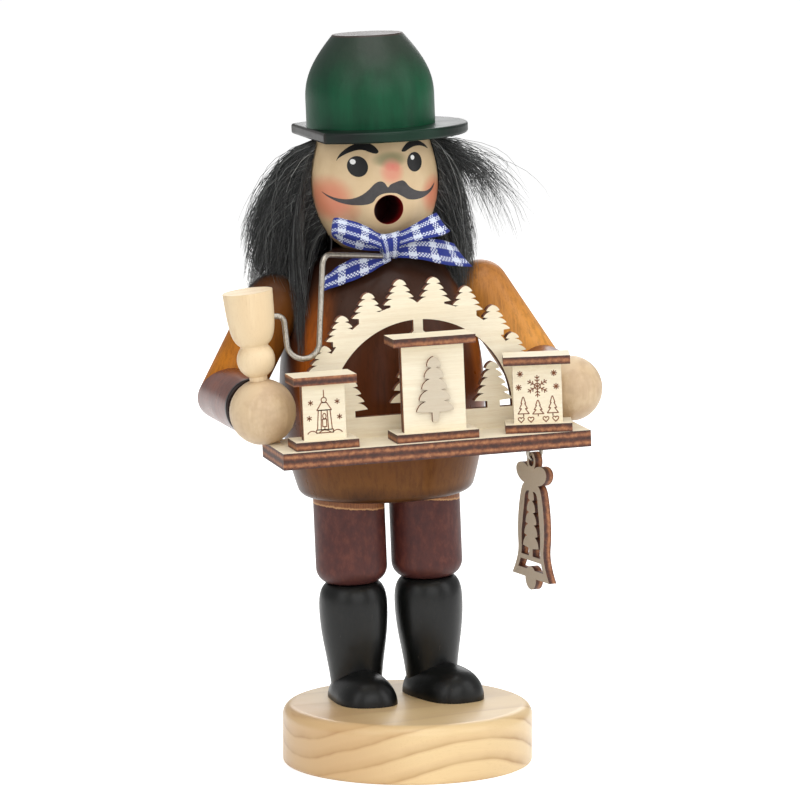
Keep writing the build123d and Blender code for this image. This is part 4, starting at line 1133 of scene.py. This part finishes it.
def engraved(name, strokes, middle_x, turn):
    """Burnt drawing of (u, v) strokes, just in front of a stall's panel."""
    reach = PANEL_FRONT + LINE_LIFT
    flat, faces = line_mesh(strokes)
    points = [(middle_x + cos(turn) * u + sin(turn) * reach,
               STALL_MIDDLE_Y + sin(turn) * u - cos(turn) * reach, PANEL_FOOT + v) for u, v in flat]
    piece = add_piece(name, points, faces, BURNT_LINE, smooth=False)
    belongs(piece, "figure", "birch_plywood")


engraved("lantern_engraving", lantern_drawing(), -29.4, 0.0)
engraved("winter_engraving", winter_drawing(), 29.6, LEFT_STALL_TURN)


# Studio

PHOTO_PIXELS = 800
LENS_PIXELS = 4600
SENSOR_MM = 36.0
CAMERA_YAW = radians(14.2)
CAMERA_DISTANCE = 1.25
CAMERA_HEIGHT = 0.27
CAMERA_PLACE = (-CAMERA_DISTANCE * sin(CAMERA_YAW), -CAMERA_DISTANCE * cos(CAMERA_YAW),
                CAMERA_HEIGHT)
AIM_HEIGHT = 0.1003
AIM_PIXEL_X = 407.5
NEAR_CLIP = 0.05
WHITE = (1.0, 1.0, 1.0, 1.0)
WORLD_STRENGTH = 0.42
FLOOR_GLOW = 0.64
FLOOR_HALF = 20.0
# Place, height aimed at, width and height, and watts of each light
SOFTBOXES = {
    "left_softbox": ((-0.75, -0.55, 0.55), 0.1, (0.5, 0.8), 2.1),
    "right_softbox": ((0.8, -0.5, 0.5), 0.1, (0.45, 0.8), 2.2),
    "top_softbox": ((0.0, -0.25, 0.95), 0.1, (0.7, 0.7), 4.0),
    "front_softbox": ((0.1, -1.35, 0.62), 0.08, (1.1, 0.8), 5.6),
    "rear_softbox": ((0.35, 1.15, 0.7), 0.1, (0.8, 0.8), 4.5),
}


def aim(thing, place, height):
    """Put a camera or light at a place and turn it to a height on the part's axis."""
    thing.location = place
    thing.rotation_euler = (Vector((0, 0, height)) - Vector(place)).to_track_quat("-Z", "Y").to_euler()


def add_camera():
    data = bpy.data.cameras.new("camera")
    data.sensor_width = SENSOR_MM
    data.lens = SENSOR_MM * LENS_PIXELS / PHOTO_PIXELS
    data.shift_x = (PHOTO_PIXELS / 2 - AIM_PIXEL_X) / PHOTO_PIXELS
    data.clip_start = NEAR_CLIP
    camera = add_object("camera", data)
    aim(camera, CAMERA_PLACE, AIM_HEIGHT)
    bpy.context.scene.camera = camera


def floor_build(net):
    """Pale floor that glows only for what sees it, so that it doesn't light the figure."""
    cloud = net.noise(net.node("TexCoord").outputs["Object"], 3.0, EVEN)
    light_path = net.node("LightPath").outputs
    seen = net.math("MAXIMUM", light_path["Is Camera Ray"],
                    net.math("MAXIMUM", light_path["Is Glossy Ray"], light_path["Is Transmission Ray"]))
    return {"Base Color": net.ramp(cloud, (0.3, (240, 240, 239)), (0.7, (244, 244, 243))), "Roughness": 0.9,
            "Emission Strength": net.times(seen, FLOOR_GLOW)}


def add_floor():
    corners = [(u * FLOOR_HALF, v * FLOOR_HALF, 0) for u, v in ((-1, -1), (1, -1), (1, 1), (-1, 1))]
    mesh = bpy.data.meshes.new("floor")
    mesh.from_pydata(corners, [], [(0, 1, 2, 3)])
    mesh.materials.append(material("pale_floor", floor_build, {"Emission Color": WHITE}))
    floor = add_object("floor", mesh)


def light_studio():
    scene = bpy.context.scene
    scene.view_settings.view_transform = "Standard"
    scene.world = bpy.data.worlds.new("studio")
    scene.world.use_nodes = True
    background = scene.world.node_tree.nodes["Background"]
    background.inputs["Color"].default_value = WHITE
    background.inputs["Strength"].default_value = WORLD_STRENGTH
    for name, (place, height, size, power) in SOFTBOXES.items():
        data = bpy.data.lights.new(name, "AREA")
        data.shape = "RECTANGLE"
        data.size, data.size_y = size
        data.energy = power
        aim(add_object(name, data), place, height)


add_camera()
add_floor()
light_studio()
